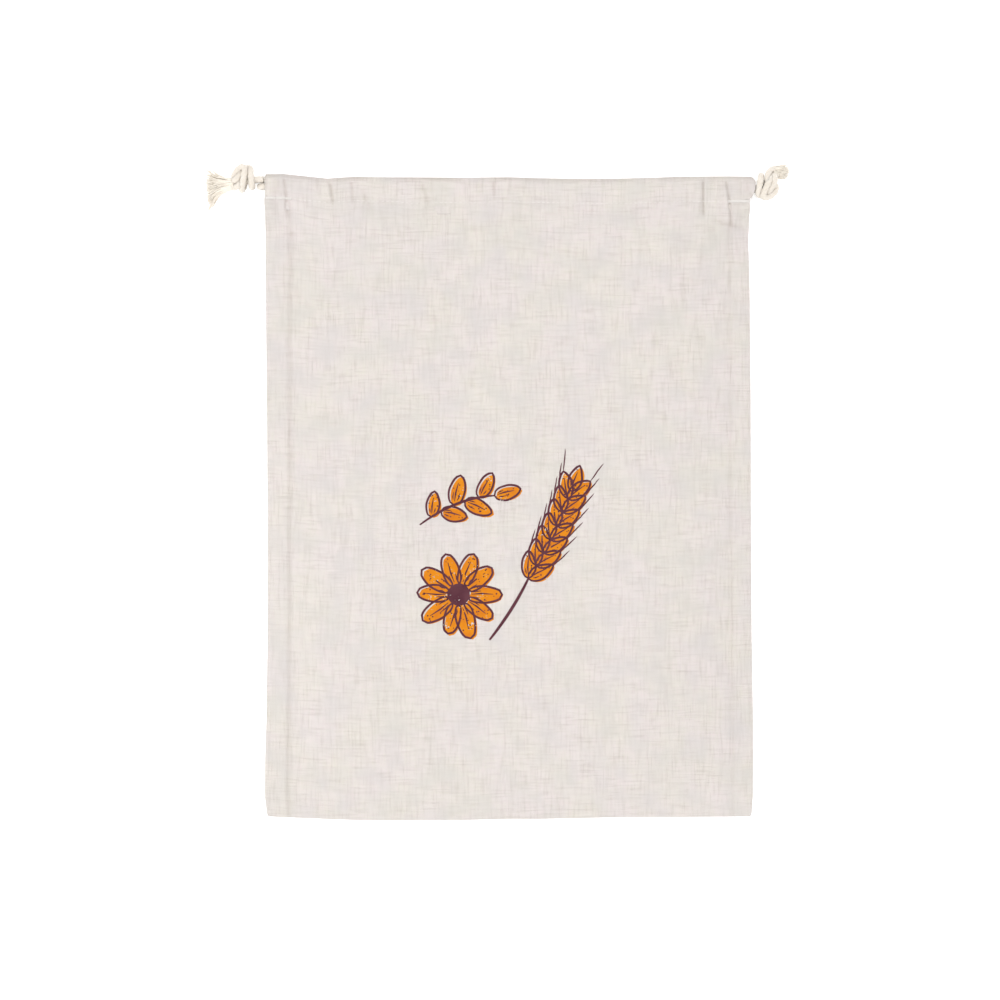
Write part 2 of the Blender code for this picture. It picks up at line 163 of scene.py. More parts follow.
def mesh_object(name, points, faces, uv=None):
    """An object at the origin from points and four-sided faces, smooth, with a UV per point."""
    mesh = bpy.data.meshes.new(name)
    mesh.vertices.add(len(points))
    mesh.vertices.foreach_set("co", np.ascontiguousarray(points, np.float32).ravel())
    mesh.loops.add(faces.size)
    mesh.loops.foreach_set("vertex_index", faces.astype(np.int32).ravel())
    mesh.polygons.add(len(faces))
    mesh.polygons.foreach_set("loop_start", np.arange(0, faces.size, 4, dtype=np.int32))
    mesh.update(calc_edges=True)
    mesh.validate()
    mesh.shade_smooth()
    if uv is not None:
        layer = mesh.uv_layers.new(name="cloth")
        layer.data.foreach_set("uv", uv[faces.ravel()].astype(np.float32).ravel())
    item = bpy.data.objects.new(name, mesh)
    bpy.context.scene.collection.objects.link(item)
    return item


def report_piece(item):
    """Print how large a new mesh is."""
    print(f"{item.name}: {len(item.data.vertices)} points, {len(item.data.polygons)} faces")


print("a grid of 3 by 4 points has", len(grid_faces(3, 4)), "faces")

# %% [markdown]
# ## The bag's form
#
# The two panels share one outline, which is a little uneven, as sewn cloth is. The front panel
# rises from its side seams like a very flat pillow, dips at the stitches and swells again over
# the cords. We describe all of it as heights over the table: a function that takes whole arrays
# of x and y and gives back z. The sizes are the solids' own, so the cloth lies on them.

# %% Sizes of the bag
WIDTH = 0.300
LENGTH = 0.3966
CLOTH = 0.001
GAP = 0.0003
CORD = 0.004
CHANNEL_DEPTH = 0.0155
CORD_SLACK = 0.0019
CORD_OUT = 0.0004
CHANNEL_HOLE = CORD + 2 * GAP
CHANNEL = CHANNEL_HOLE + 2 * CLOTH
CHANNEL_FLAT = CORD + CORD_SLACK
CHANNEL_BACK = CHANNEL / 2 + CHANNEL_FLAT
TOP = LENGTH / 2
CORD_ROW = CORD / 2 + GAP / 2
CORD_LIFT = CHANNEL_FLAT / 2 - CORD_ROW
MOUTH_GAP = 0.0052
BODY_GAP = CHANNEL - CLOTH + MOUTH_GAP
SIDE_RUN = 0.070
BOTTOM_RUN = 0.085
NECK_RUN = 0.050
SEAM_NECK_RUN = 0.010
SEAM_RUN = 0.045
CHANNEL_FOLD = 0.0005
CHANNEL_SINK = 0.0009

# Height above the bottom, x of the left edge, x of the right edge
SIDES = np.array([
    (0.0000, -0.1488, 0.1494),
    (0.0010, -0.1495, 0.1500),
    (0.0030, -0.1500, 0.1503),
    (0.0065, -0.1502, 0.1505),
    (0.0120, -0.1510, 0.1509),
    (0.0360, -0.1508, 0.1511),
    (0.0605, -0.1500, 0.1510),
    (0.1100, -0.1493, 0.1502),
    (0.1840, -0.1492, 0.1498),
    (0.2580, -0.1498, 0.1496),
    (0.3320, -0.1505, 0.1489),
    (0.3565, -0.1505, 0.1481),
    (0.3790, -0.1511, 0.1489),
    (0.3815, -0.1509, 0.1485),
    (0.3830, -0.1506, 0.1472),
    (0.3966, -0.1502, 0.1464),
])

# x, how far the mouth edge and the bottom edge stand up
ENDS = np.array([
    (-0.151, 0.0012, 0.0010),
    (-0.139, 0.0012, 0.0004),
    (-0.124, -0.0005, -0.0002),
    (-0.112, -0.0018, -0.0008),
    (-0.094, -0.0006, -0.0014),
    (-0.079, -0.0010, -0.0015),
    (-0.028, -0.0013, -0.0014),
    (0.000, -0.0010, -0.0007),
    (0.017, -0.0016, -0.0008),
    (0.040, -0.0020, -0.0002),
    (0.068, -0.0019, 0.0004),
    (0.092, -0.0012, 0.0005),
    (0.105, -0.0007, 0.0005),
    (0.135, -0.0003, 0.0007),
    (0.151, -0.0004, 0.0010),
])

# x, depth of the stitches below the mouth edge
STITCHES = np.array([
    (-0.151, 0.0154),
    (-0.134, 0.0155),
    (-0.112, 0.0156),
    (-0.070, 0.0158),
    (-0.060, 0.0170),
    (-0.045, 0.0163),
    (0.010, 0.0158),
    (0.088, 0.0163),
    (0.151, 0.0160),
])
STITCH_RUN_UP = 0.0062
STITCH_RUN_DOWN = 0.025
print(f"bag {WIDTH * 1000:.0f} x {LENGTH * 1000:.0f} mm, channel {CHANNEL * 1000:.1f} mm high")


# %% Heights of the cloth
def ease(value):
    """From 0 to 1, level at both ends: three squares less two cubes."""
    t = np.clip(value, 0, 1)
    return t * t * (3 - 2 * t)


def swell(value):
    """From 0 to 1, steep at first and level at the end: a quarter of a sine wave."""
    return np.sin(math.pi / 2 * np.clip(value, 0, 1))


def mouth_edge(x):
    """Y of the mouth's fold: half the bag's length and what the table of ends adds there."""
    return TOP + np.interp(x, ENDS[:, 0], ENDS[:, 1])


def channel_line(x):
    """Y of the channel's middle: half its height and half its flat part behind the fold."""
    return mouth_edge(x) - CHANNEL / 2 - CHANNEL_FLAT / 2


def cord_line(x, row):
    """One of the two cords that share a channel: both are drawn up against the mouth's fold."""
    return channel_line(x) + CORD_LIFT + row * CORD_ROW


def stitch_line(x):
    """Y of the stitches in the solids: one depth behind the fold."""
    return mouth_edge(x) - CHANNEL_DEPTH


def neck(x, y):
    """From 0 in the body to 1 at the stitches, in a shorter run beside the side seams."""
    run = SEAM_NECK_RUN + (NECK_RUN - SEAM_NECK_RUN) * ease((WIDTH / 2 - np.abs(x)) / SEAM_RUN)
    return ease((y - stitch_line(x) + run) / run)


def across(x):
    """From 0 at the side edges to 1 once a side run away from them."""
    return swell((WIDTH / 2 - np.abs(x)) / SIDE_RUN)


def hollow(x, y):
    """How far the front stands off the back: the body's gap, less at the neck and the edges."""
    up = swell((y + TOP) / BOTTOM_RUN)
    return (BODY_GAP + (MOUTH_GAP - BODY_GAP) * neck(x, y)) * across(x) * up


def channel_middle(x):
    """Z of the front channel's middle: over the back channel and the gap of the mouth."""
    return CHANNEL + GAP + MOUTH_GAP * across(x) + CHANNEL / 2


def body_top(x, y):
    """Upper face of the front panel below its stitches."""
    lift = neck(x, y) * (CHANNEL - CLOTH + CHANNEL / 2 - CLOTH)
    return CLOTH + GAP + lift + hollow(x, y) + CLOTH


def stitch_shift(x, y):
    """How far down the rows move so that the stitches wander as sewn: most at the stitch line."""
    wander = np.interp(x, STITCHES[:, 0], STITCHES[:, 1]) - CHANNEL_DEPTH
    away = y - stitch_line(x)
    return wander * ease(1 - np.where(away > 0, away / STITCH_RUN_UP, -away / STITCH_RUN_DOWN))


def seam_swell(from_edge):
    """Half the channel's height behind its round edge, from the stitches to the full swell."""
    seam = ease((CHANNEL_DEPTH - from_edge) / (CHANNEL_DEPTH - CHANNEL_BACK))
    return CLOTH + (CHANNEL / 2 - CLOTH) * seam


print(f"middle of the front cloth {body_top(np.array(0.0), np.array(0.0)) * 1000:.1f} mm up")

# %% [markdown]
# ## Creases
#
# Real cloth is never even. Three things break up the surface here. The seam allowance, which is
# turned inside, makes a low step beside each side edge. The drawn-up channel throws short puckers
# across the stitches. And a few single creases were pressed in while the bag was folded. Each of
# these creases is a bell-shaped line, given in a list. The rest is a smooth unevenness: a sum of
# sine waves in all directions, which costs little and is the same every time.

# %% Creases and unevenness
# x and y of one end, x and y of the other, half width, height
CREASES = np.array([
    (-0.1362, -0.196, -0.1350, 0.176, 0.0016, -0.00045),
    (0.1385, -0.196, 0.1360, 0.170, 0.0016, -0.00035),
    (-0.1442, 0.176, -0.1438, 0.197, 0.0010, -0.00050),
    (-0.1386, 0.197, -0.1370, 0.179, 0.0010, -0.00080),
    (-0.1372, 0.180, -0.1368, 0.174, 0.0014, -0.00070),
    (-0.1105, 0.194, -0.1087, 0.183, 0.0009, -0.00090),
    (-0.1090, 0.183, -0.1070, 0.174, 0.0024, -0.00050),
    (-0.0970, 0.194, -0.0962, 0.184, 0.0010, -0.00060),
    (-0.0892, 0.186, -0.0866, 0.180, 0.0016, -0.00060),
    (-0.0528, 0.192, -0.0500, 0.183, 0.0012, -0.00050),
    (-0.0360, 0.130, -0.0400, 0.176, 0.0080, -0.00070),
    (-0.0095, 0.196, -0.0092, 0.187, 0.0010, -0.00070),
    (0.0300, 0.174, 0.0700, 0.160, 0.0070, 0.00040),
    (0.0420, 0.176, 0.0440, 0.190, 0.0020, -0.00040),
    (0.0780, 0.152, 0.1420, 0.132, 0.0080, -0.00070),
    (0.0600, 0.172, 0.1400, 0.146, 0.0075, 0.00080),
    (0.1196, 0.195, 0.1199, 0.176, 0.0008, -0.00100),
    (0.1211, 0.195, 0.1214, 0.178, 0.0012, 0.00045),
    (0.1280, 0.194, 0.1286, 0.186, 0.0010, 0.00050),
    (0.1322, 0.193, 0.1348, 0.180, 0.0012, 0.00045),
    (-0.1121, 0.193, -0.1104, 0.184, 0.0012, 0.00040),
    (0.1338, 0.194, 0.1364, 0.180, 0.0009, -0.00090),
    (0.1364, 0.180, 0.1374, 0.170, 0.0011, -0.00080),
    (0.1305, 0.170, 0.1400, 0.168, 0.0014, -0.00060),
    (0.1456, 0.193, 0.1490, 0.187, 0.0011, -0.00070),
    (-0.1400, 0.150, -0.1180, 0.172, 0.0045, 0.00040),
])


def crease_heights(x, y, lines):
    """Bell-shaped lines: height times a bell of the distance off the line and past its ends."""
    total = np.zeros_like(x)
    for x0, y0, x1, y1, half_width, height in lines:
        run = math.hypot(x1 - x0, y1 - y0)
        along = ((x - x0) * (x1 - x0) + (y - y0) * (y1 - y0)) / run
        off = ((x - x0) * (y1 - y0) - (y - y0) * (x1 - x0)) / run
        past = np.maximum(0, np.maximum(-along, along - run))
        total += height * np.exp(-(off / half_width) ** 2 - (past / (2 * half_width)) ** 2)
    return total


def uneven(x, y, wave, seed, waves=14):
    """About -1 to 1: a sum of sine waves of roughly one length in random directions."""
    draw = np.random.default_rng(seed)
    angle = draw.uniform(0, math.tau, waves)
    length = wave * draw.uniform(0.6, 1.7, waves)
    phase = draw.uniform(0, math.tau, waves)
    total = sum(
        np.sin(math.tau * (x * math.cos(a) + y * math.sin(a)) / w + p)
        for a, w, p in zip(angle, length, phase)
    )
    return total * (2 / waves) ** 0.5 / 1.6


ALLOWANCE = 0.0135
ALLOWANCE_RISE = 0.00045
ALLOWANCE_STEP = 0.0024


def allowance(x, y):
    """The step where the seam allowance inside ends, eased over the step's width."""
    left, right = (np.interp(y + TOP, SIDES[:, 0], SIDES[:, k]) for k in (1, 2))
    inside = np.minimum(x - left, right - x)
    return ALLOWANCE_RISE * (1 - ease((inside - ALLOWANCE) / ALLOWANCE_STEP + 0.5))


PUCKER = 0.00028
PUCKER_WAVE = 0.010
PUCKER_STRETCH = 0.12
PUCKER_FADE_UP, PUCKER_FADE_DOWN = 0.007, 0.012


def puckers(x, y):
    """Short folds across the stitches: waves drawn out along y, which fade both ways."""
    away = y - stitch_line(x)
    fade = np.exp(np.where(away > 0, -away / PUCKER_FADE_UP, away / PUCKER_FADE_DOWN))
    return PUCKER * fade * uneven(x, y * PUCKER_STRETCH, PUCKER_WAVE, 5)


# Height, wave length and seed of the broad, the middle and the fine unevenness
UNEVEN = ((0.00030, 0.050, 1), (0.00009, 0.015, 2), (0.00003, 0.006, 3))
CALM = 0.6
CALM_RUN, CALM_X, CALM_Y = 0.12, -0.02, 0.02


def relief(x, y):
    """All that is added to the front panel's even form.

    The broad unevenness is twice as high towards the mouth's right end as elsewhere.
    """
    lively = CALM * (1 + ease((x - CALM_X) / CALM_RUN) * ease((y - CALM_Y) / CALM_RUN))
    broad, middle, fine = (height * uneven(x, y, wave, seed) for height, wave, seed in UNEVEN)
    lines = crease_heights(x, y, CREASES) + allowance(x, y) + puckers(x, y)
    return lines + lively * broad + middle + fine


# Creases narrower than the first value get shade painted into the cloth's colour, full at the second's
# depth
SHARP = 0.0020
SHARP_DEPTH = 0.0011


def crease_shade(x, y):
    """From 0 to 1 in the sharp creases: how strongly shade is painted into the cloth's colour."""
    sharp = CREASES[CREASES[:, 4] < SHARP]
    return np.clip(-crease_heights(x, y, sharp) / SHARP_DEPTH, 0, 1)


TIGHT_RUN = 0.010


def folded(x, y):
    """The relief as the cloth can lie: it sinks only a little where it passes over the cords."""
    free = relief(x, y)
    tight = np.clip(free, -CHANNEL_SINK, 2 * CHANNEL_FOLD)
    return free + (tight - free) * ease((y - stitch_line(x) + TIGHT_RUN) / TIGHT_RUN)


print("creases placed by hand:", len(CREASES))

# %% [markdown]
# ## The two cloth panels
#
# Each panel is one strip, followed from the bottom edge up the outside, round the mouth edge and
# down inside to the stitches, where the turned-in end lies against the panel. A grid whose rows
# follow that path and whose columns run from side to side gives the whole strip at once. A
# Solidify modifier then gives it the thickness of real linen. At the side seams the two panels
# roll towards each other, so together they look like one sewn edge.

# %% Cloth panels
SHEET = 0.0005
EDGE_ROLL = 0.0012
EDGE_DROP = 0.00065
HEM_START, HEM_END = 0.0015, 0.0065
HEM_CLEAR = 0.0001
HEM_ROWS = 4
CREASED = 0.034
TOUCH = 1e-9
BOTTOM_ROWS = (0, 0.0006, 0.0014)
SIDE_COLUMNS = (0, 0.0004, 0.0009, 0.0016, 0.0026)
SIDE_BAND = 0.0040
ZONE_STEP = 0.0004
MOUTH_LEFT, MOUTH_RIGHT = -0.1506, 0.1472

# x where the sharp creases start and end, which need columns close together
CREASE_ZONES = (
    (-0.1400, -0.1350), (-0.1120, -0.1070), (-0.0982, -0.0950), (-0.0545, -0.0485),
    (-0.0108, -0.0080), (0.1182, 0.1212), (0.1268, 0.1298), (0.1318, 0.1388),
)

LOBE_START = 0.1405
END_SAG = 0.0006
END_RUN = 0.003
# Place above the bottom, how far the layer over the right cord end hangs out, how far it drops
LOBE = np.array([
    (0.3811, 0.0000, 0.0000),
    (0.3829, 0.0012, 0.0008),
    (0.3842, 0.0029, 0.0014),
    (0.3866, 0.0043, 0.0008),
    (0.3891, 0.0052, 0.0006),
    (0.3915, 0.0055, 0.0009),
    (0.3932, 0.0056, 0.0018),
    (0.3966, 0.0052, 0.0020),
])


def strip_rows(body_step, neck_step, channel_step, roll_steps):
    """Path of a panel's strip: place above the bottom, part of the strip, turn angle, length."""
    neck_start = LENGTH - CHANNEL_DEPTH - CREASED
    body = np.concatenate([
        BOTTOM_ROWS,
        np.arange(body_step, neck_start, body_step),
        np.arange(neck_start, LENGTH - CHANNEL_DEPTH - neck_step / 2, neck_step),
    ])
    swell_up = np.arange(LENGTH - CHANNEL_DEPTH, LENGTH - CHANNEL / 2, channel_step)
    turn = np.linspace(0, math.pi, roll_steps)
    roll = LENGTH - CHANNEL / 2 + CHANNEL / 2 * np.sin(turn)
    inside = swell_up[::-1]
    hem = np.linspace(swell_up[0] - HEM_START, swell_up[0] - HEM_END, HEM_ROWS)
    place = np.concatenate([body, swell_up, roll, inside, hem])
    sizes = [len(body), len(swell_up), len(roll), len(inside), len(hem)]
    part = np.repeat(np.arange(5), sizes)
    angle = np.zeros(len(place))
    angle[part == 2] = turn
    walk = np.abs(np.diff(place, prepend=place[0]))
    walk[part == 2] = CHANNEL / 2 * math.pi / (roll_steps - 1)
    return place, part, angle, np.cumsum(walk)


def strip_columns(step, zones=()):
    """Shares of the width, closer together beside both edges and in the zones, given as x."""
    near = np.array(SIDE_COLUMNS) / WIDTH
    inner = np.linspace(SIDE_BAND / WIDTH, 1 - SIDE_BAND / WIDTH, round(WIDTH / step))
    for low, high in zones:
        start, stop = (np.array([low, high]) - MOUTH_LEFT) / (MOUTH_RIGHT - MOUTH_LEFT)
        count = round((high - low) / ZONE_STEP)
        inner = np.concatenate([
            inner[inner < start - ZONE_STEP / 2 / WIDTH],
            np.linspace(start, stop, count),
            inner[inner > stop + ZONE_STEP / 2 / WIDTH],
        ])
    return np.concatenate([near, inner, 1 - near[::-1]])


def lobe(x, place, part, angle):
    """How far the upper layer hangs over at the channel's right end, and how far it drops at both.

    Round the mouth edge both fade as the root of the cosine of the turn.
    """
    share = ease((x - LOBE_START) / (MOUTH_RIGHT - LOBE_START))
    share = share * np.select([part == 1, part == 2], [1, np.sqrt(np.clip(np.cos(angle), 0, 1))], 0)
    out, drop = (np.interp(place, LOBE[:, 0], LOBE[:, k])[:, None] for k in (1, 2))
    sag = END_SAG * ease((MOUTH_LEFT + END_RUN - x) / END_RUN) * (part == 1)
    return share * out, share ** 2 * drop + sag


def outline(place, share):
    """x and y of the strip's grid inside the bag's uneven outline."""
    left, right = (np.interp(place, SIDES[:, 0], SIDES[:, k])[:, None] for k in (1, 2))
    x = left + (right - left) * share
    top, bottom = (np.interp(x, ENDS[:, 0], ENDS[:, k]) for k in (1, 2))
    blend = ease(place / LENGTH)[:, None]
    y = -TOP + place[:, None] + bottom * (1 - blend) + top * blend
    in_channel = place[:, None] > LENGTH - CHANNEL_DEPTH - TOUCH
    y = np.where(in_channel, mouth_edge(x) - (LENGTH - place[:, None]), y)
    return x, y, np.minimum(x - left, right - x)


# Painted shade along the mouth's fold: how strong it is, and the wave length of its unevenness
MOUTH_SHADE = 0.75
SHADE_WAVE = 0.030


def front_grid(step_x, *row_steps):
    """The front strip: body, swelling channel, round edge, inside of the channel, turned end.

    Its last value is the shade painted into the cloth's colour: in the sharp creases, and, as
    the sine of the turn, along the mouth's fold.
    """
    place, part, angle, walk = strip_rows(*row_steps)
    x, y, inset = outline(place, strip_columns(step_x, CREASE_ZONES))
    part, angle = part[:, None], angle[:, None]
    out, drop = lobe(x, place, part, angle)
    x = x + out
    half = seam_swell(mouth_edge(x) - y)
    middle = channel_middle(x)
    added = folded(x, y)
    edge = EDGE_DROP * (1 - swell(inset / EDGE_ROLL))
    z = np.select(
        [part == 0, part == 1, part == 2, part == 3],
        [
            body_top(x, y) + added - edge,
            middle + half + added - drop,
            middle + CHANNEL / 2 * np.cos(angle) + added * np.clip(np.cos(angle), 0, 1) - drop,
            middle - half,
        ],
        body_top(x, y) - CLOTH - HEM_CLEAR,
    )
    points = np.stack([x, y - stitch_shift(x, y), z], -1)
    uv = np.stack([x, np.broadcast_to(walk[:, None], x.shape)], -1)
    # Painted shade along the mouth's fold, strongest where the turning cloth stands upright
    fold = MOUTH_SHADE * np.sin(angle) * (1 + 0.5 * uneven(x, 0 * y, SHADE_WAVE, 8))
    return points, uv, np.where(part == 2, fold, crease_shade(x, y) * (part < 3))


def back_grid(step_x, *row_steps):
    """The back strip, flat on the table, with its channel standing up from it."""
    place, part, angle, walk = strip_rows(*row_steps)
    x, y, inset = outline(place, strip_columns(step_x))
    part, angle = part[:, None], angle[:, None]
    half = seam_swell(mouth_edge(x) - y)
    edge = EDGE_DROP * (1 - swell(inset / EDGE_ROLL))
    z = np.select(
        [part <= 1, part == 2, part == 3],
        [
            edge * (part == 0),
            CHANNEL / 2 - CHANNEL / 2 * np.cos(angle),
            2 * half,
        ],
        CLOTH + HEM_CLEAR,
    )
    points = np.stack([x, y, z], -1)
    uv = np.stack([x, np.broadcast_to(walk[:, None], x.shape)], -1)
    return points, uv, np.zeros_like(x)


def cloth_panel(name, grid, faces_up, replaced):
    """A sheet on the solid's form, made as thick as linen towards its inner side."""
    points, uv, crease = grid
    rows, columns = points.shape[:2]
    faces = grid_faces(rows, columns)
    if not faces_up:
        faces = faces[:, ::-1]
    item = mesh_object(name, points.reshape(-1, 3), faces, uv.reshape(-1, 2))
    # Where and how strongly shade is painted into the linen's colour
    mark = item.data.attributes.new("crease", "FLOAT", "POINT")
    mark.data.foreach_set("value", crease.astype(np.float32).ravel())
    thick = item.modifiers.new("linen", "SOLIDIFY")
    thick.thickness = SHEET
    thick.offset = -1
    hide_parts(replaced)
    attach(item, "root")
    report_piece(item)
    return item


# Steps across the bag, up its body, up its neck and up its channel, and the points round the fold
FRONT_STEPS = (0.0022, 0.0030, 0.0014, 0.0010, 11)
BACK_STEPS = (0.0036, 0.0040, 0.0030, 0.0016, 10)
front_cloth = cloth_panel("front_cloth", front_grid(*FRONT_STEPS), True, "front_panel")
back_cloth = cloth_panel("back_cloth", back_grid(*BACK_STEPS), False, "back_panel")

# %% [markdown]
# ## Linen
#
# Close up, plain weave is a chequer of small bumps: each yarn dives under one crossing yarn and
# rises over the next. From further away what makes linen look like linen is its slubs, the thick
# and thin stretches of single yarns, which run a centimetre or two and then fade. Both are worked
# out from the UV map, whose unit is a metre of cloth. A photograph of cloth would do it too, but a
# worked-out weave has no seams and no fixed size.
#
# The weave is needed by the cloth and, more faintly, by the print, so it is a node group.


# %% Node helpers
class Nodes:
    """Short ways to add nodes to one tree and to link them."""

    def __init__(self, tree):
        self.tree = tree

    def add(self, kind, **settings):
        """A new node with its settings."""
        node = self.tree.nodes.new(kind)
        for key, value in settings.items():
            setattr(node, key, value)
        return node

    def put(self, socket, value):
        """Link a socket, or set a plain value."""
        if isinstance(value, bpy.types.NodeSocket):
            self.tree.links.new(value, socket)
        else:
            socket.default_value = value

    def math(self, operation, *values):
        """One sum of values or sockets."""
        node = self.add("ShaderNodeMath", operation=operation)
        for socket, value in zip(node.inputs, values):
            self.put(socket, value)
        return node.outputs[0]

    def mix(self, share, low, high):
        """A colour between two colours."""
        node = self.add("ShaderNodeMix", data_type="RGBA")
        self.put(node.inputs[0], share)
        self.put(node.inputs[6], low)
        self.put(node.inputs[7], high)
        return node.outputs[2]

    def times(self, first, second):
        """One colour multiplied by another."""
        node = self.add("ShaderNodeMix", data_type="RGBA", blend_type="MULTIPLY")
        self.put(node.inputs[0], 1.0)
        self.put(node.inputs[6], first)
        self.put(node.inputs[7], second)
        return node.outputs[2]

    def noise(self, vector, scale, detail=2.0):
        """Smooth random values from about 0.2 to 0.8."""
        node = self.add("ShaderNodeTexNoise")
        self.put(node.inputs["Vector"], vector)
        node.inputs["Scale"].default_value = scale
        node.inputs["Detail"].default_value = detail
        return node.outputs["Fac"]

    def scaled(self, vector, *scale):
        """A place stretched along its three directions."""
        node = self.add("ShaderNodeVectorMath", operation="MULTIPLY")
        self.put(node.inputs[0], vector)
        node.inputs[1].default_value = scale
        return node.outputs[0]

    def ramp(self, value, low, high):
        """0 below low, 1 above high, and a straight line between them."""
        node = self.add("ShaderNodeMapRange")
        self.put(node.inputs["Value"], value)
        node.inputs["From Min"].default_value = low
        node.inputs["From Max"].default_value = high
        return node.outputs["Result"]


def new_group(name, inputs, outputs):
    """An empty node group with named inputs and outputs."""
    tree = bpy.data.node_groups.new(name, "ShaderNodeTree")
    for title, kind, value in inputs:
        socket = tree.interface.new_socket(title, in_out="INPUT", socket_type=kind)
        if value is not None:
            socket.default_value = value
    for title, kind in outputs:
        tree.interface.new_socket(title, in_out="OUTPUT", socket_type=kind)
    nodes = Nodes(tree)
    return nodes, nodes.add("NodeGroupInput"), nodes.add("NodeGroupOutput")


print("ways to add nodes:", [title for title in vars(Nodes) if not title.startswith("_")])

# %% Weave group
YARNS_PER_METRE = 1900.0
# How many yarns wide the yarns sway, and how fast across and along them
SWAY, SWAY_ACROSS, SWAY_ALONG = 3.0, 260, 34
# Mean height of a yarn, and how much it rises and dives
MEAN_RISE, DIVE = 0.6, 0.4
SLUB_ACROSS, SLUB_ALONG, SLUB_RISE = 0.50, 70.0, 0.5


def weave_group():
    """Plain weave from cloth coordinates in metres.

    Warp yarn number i is on top where (-1)^i times sin(pi b) is positive, weft yarn number j where
    (-1)^j times sin(pi a) is negative. Here a and b count yarns along u and v. Each yarn has a
    round section, a half sine wave across it, and the higher of the two is what is seen.
    """
    nodes, given, result = new_group(
        "plain_weave",
        [("Cloth", "NodeSocketVector", None), ("Yarns per metre", "NodeSocketFloat", YARNS_PER_METRE)],
        [("Height", "NodeSocketFloat"), ("Yarn tone", "NodeSocketFloat"), ("Slub", "NodeSocketFloat")],
    )
    cloth, count = given.outputs[0], given.outputs[1]
    split = nodes.add("ShaderNodeSeparateXYZ")
    nodes.put(split.inputs[0], cloth)
    u, v = split.outputs[0], split.outputs[1]
    sway_u = nodes.noise(nodes.scaled(cloth, SWAY_ACROSS, SWAY_ALONG, 0), 1.0, 1.0)
    sway_v = nodes.noise(nodes.scaled(cloth, SWAY_ALONG, SWAY_ACROSS, 5), 1.0, 1.0)
    a = nodes.math("ADD", nodes.math("MULTIPLY", u, count), nodes.math("MULTIPLY", sway_u, SWAY))
    b = nodes.math("ADD", nodes.math("MULTIPLY", v, count), nodes.math("MULTIPLY", sway_v, SWAY))
    number_a, number_b = nodes.math("FLOOR", a), nodes.math("FLOOR", b)
    turn_a = nodes.math("COSINE", nodes.math("MULTIPLY", number_a, math.pi))
    turn_b = nodes.math("COSINE", nodes.math("MULTIPLY", number_b, math.pi))
    wave_a = nodes.math("SINE", nodes.math("MULTIPLY", a, math.pi))
    wave_b = nodes.math("SINE", nodes.math("MULTIPLY", b, math.pi))
    round_a, round_b = nodes.math("ABSOLUTE", wave_a), nodes.math("ABSOLUTE", wave_b)
    rise_a = nodes.math("MULTIPLY_ADD", nodes.math("MULTIPLY", turn_a, wave_b), DIVE, MEAN_RISE)
    rise_b = nodes.math("MULTIPLY_ADD", nodes.math("MULTIPLY", turn_b, wave_a), -DIVE, MEAN_RISE)
    warp = nodes.math("MULTIPLY", round_a, rise_a)
    weft = nodes.math("MULTIPLY", round_b, rise_b)
    on_top = nodes.math("GREATER_THAN", warp, weft)

    def slub_of(number, along, seed):
        """Thick and thin stretches: noise that is fine across the yarns and long along them."""
        place = nodes.add("ShaderNodeCombineXYZ")
        nodes.put(place.inputs[0], nodes.math("MULTIPLY", number, SLUB_ACROSS))
        nodes.put(place.inputs[1], nodes.math("MULTIPLY", along, SLUB_ALONG))
        nodes.put(place.inputs[2], seed)
        return nodes.noise(place.outputs[0], 1.0, 2.0)

    slub_a, slub_b = slub_of(number_a, v, 1.7), slub_of(number_b, u, 9.2)
    tone_a, tone_b = slub_of(number_a, v, 23.1), slub_of(number_b, u, 31.4)

    def seen(first, second):
        """The warp's value where the warp is on top, and else the weft's."""
        node = nodes.add("ShaderNodeMix", data_type="FLOAT")
        nodes.put(node.inputs[0], on_top)
        nodes.put(node.inputs[2], second)
        nodes.put(node.inputs[3], first)
        return node.outputs[0]

    slub = seen(slub_a, slub_b)
    height = nodes.math("MULTIPLY_ADD", slub, SLUB_RISE, nodes.math("MAXIMUM", warp, weft))
    nodes.put(result.inputs["Height"], height)
    nodes.put(result.inputs["Yarn tone"], seen(tone_a, tone_b))
    nodes.put(result.inputs["Slub"], slub)
    return nodes.tree


WEAVE = weave_group()
print("weave nodes:", len(WEAVE.nodes))


# %% Linen material
def new_material(name):
    """A material, short ways to add its nodes, and its shader."""
    material = bpy.data.materials.new(name)
    material.use_nodes = True
    nodes = Nodes(material.node_tree)
    return material, nodes, material.node_tree.nodes["Principled BSDF"]


def cloth_place(nodes):
    """The UV map in metres of cloth."""
    return nodes.add("ShaderNodeUVMap", uv_map="cloth").outputs[0]


def bump(nodes, shader, height, strength, distance):
    """Small height differences that tilt the light but not the surface."""
    node = nodes.add("ShaderNodeBump")
    nodes.put(node.inputs["Height"], height)
    node.inputs["Strength"].default_value = strength
    node.inputs["Distance"].default_value = distance
    nodes.put(shader.inputs["Normal"], node.outputs[0])


def set_finish(shader, finish):
    """Set plain values on the shader's own sockets."""
    for socket, value in finish.items():
        shader.inputs[socket].default_value = value


THIN_YARN, THICK_YARN = (0.425, 0.385, 0.355, 1), (0.632, 0.593, 0.569, 1)
PINK_YARN, YELLOW_YARN = (0.645, 0.568, 0.560, 1), (0.595, 0.572, 0.500, 1)
# The second colour on the next line is painted shade, for the low places between the yarns
GREY_BLOTCH, YARN_GAP_SHADE = (0.562, 0.540, 0.520, 1), (0.437, 0.402, 0.372, 1)
# Painted shade: the linen's colour is multiplied by this in the sharp creases and along the mouth's
# fold
PAINTED_CREASE_SHADE = (0.84, 0.82, 0.80, 1)
PINK_CAST, YELLOW_CAST = (1.0, 0.985, 1.0, 1), (1.0, 1.0, 0.975, 1)


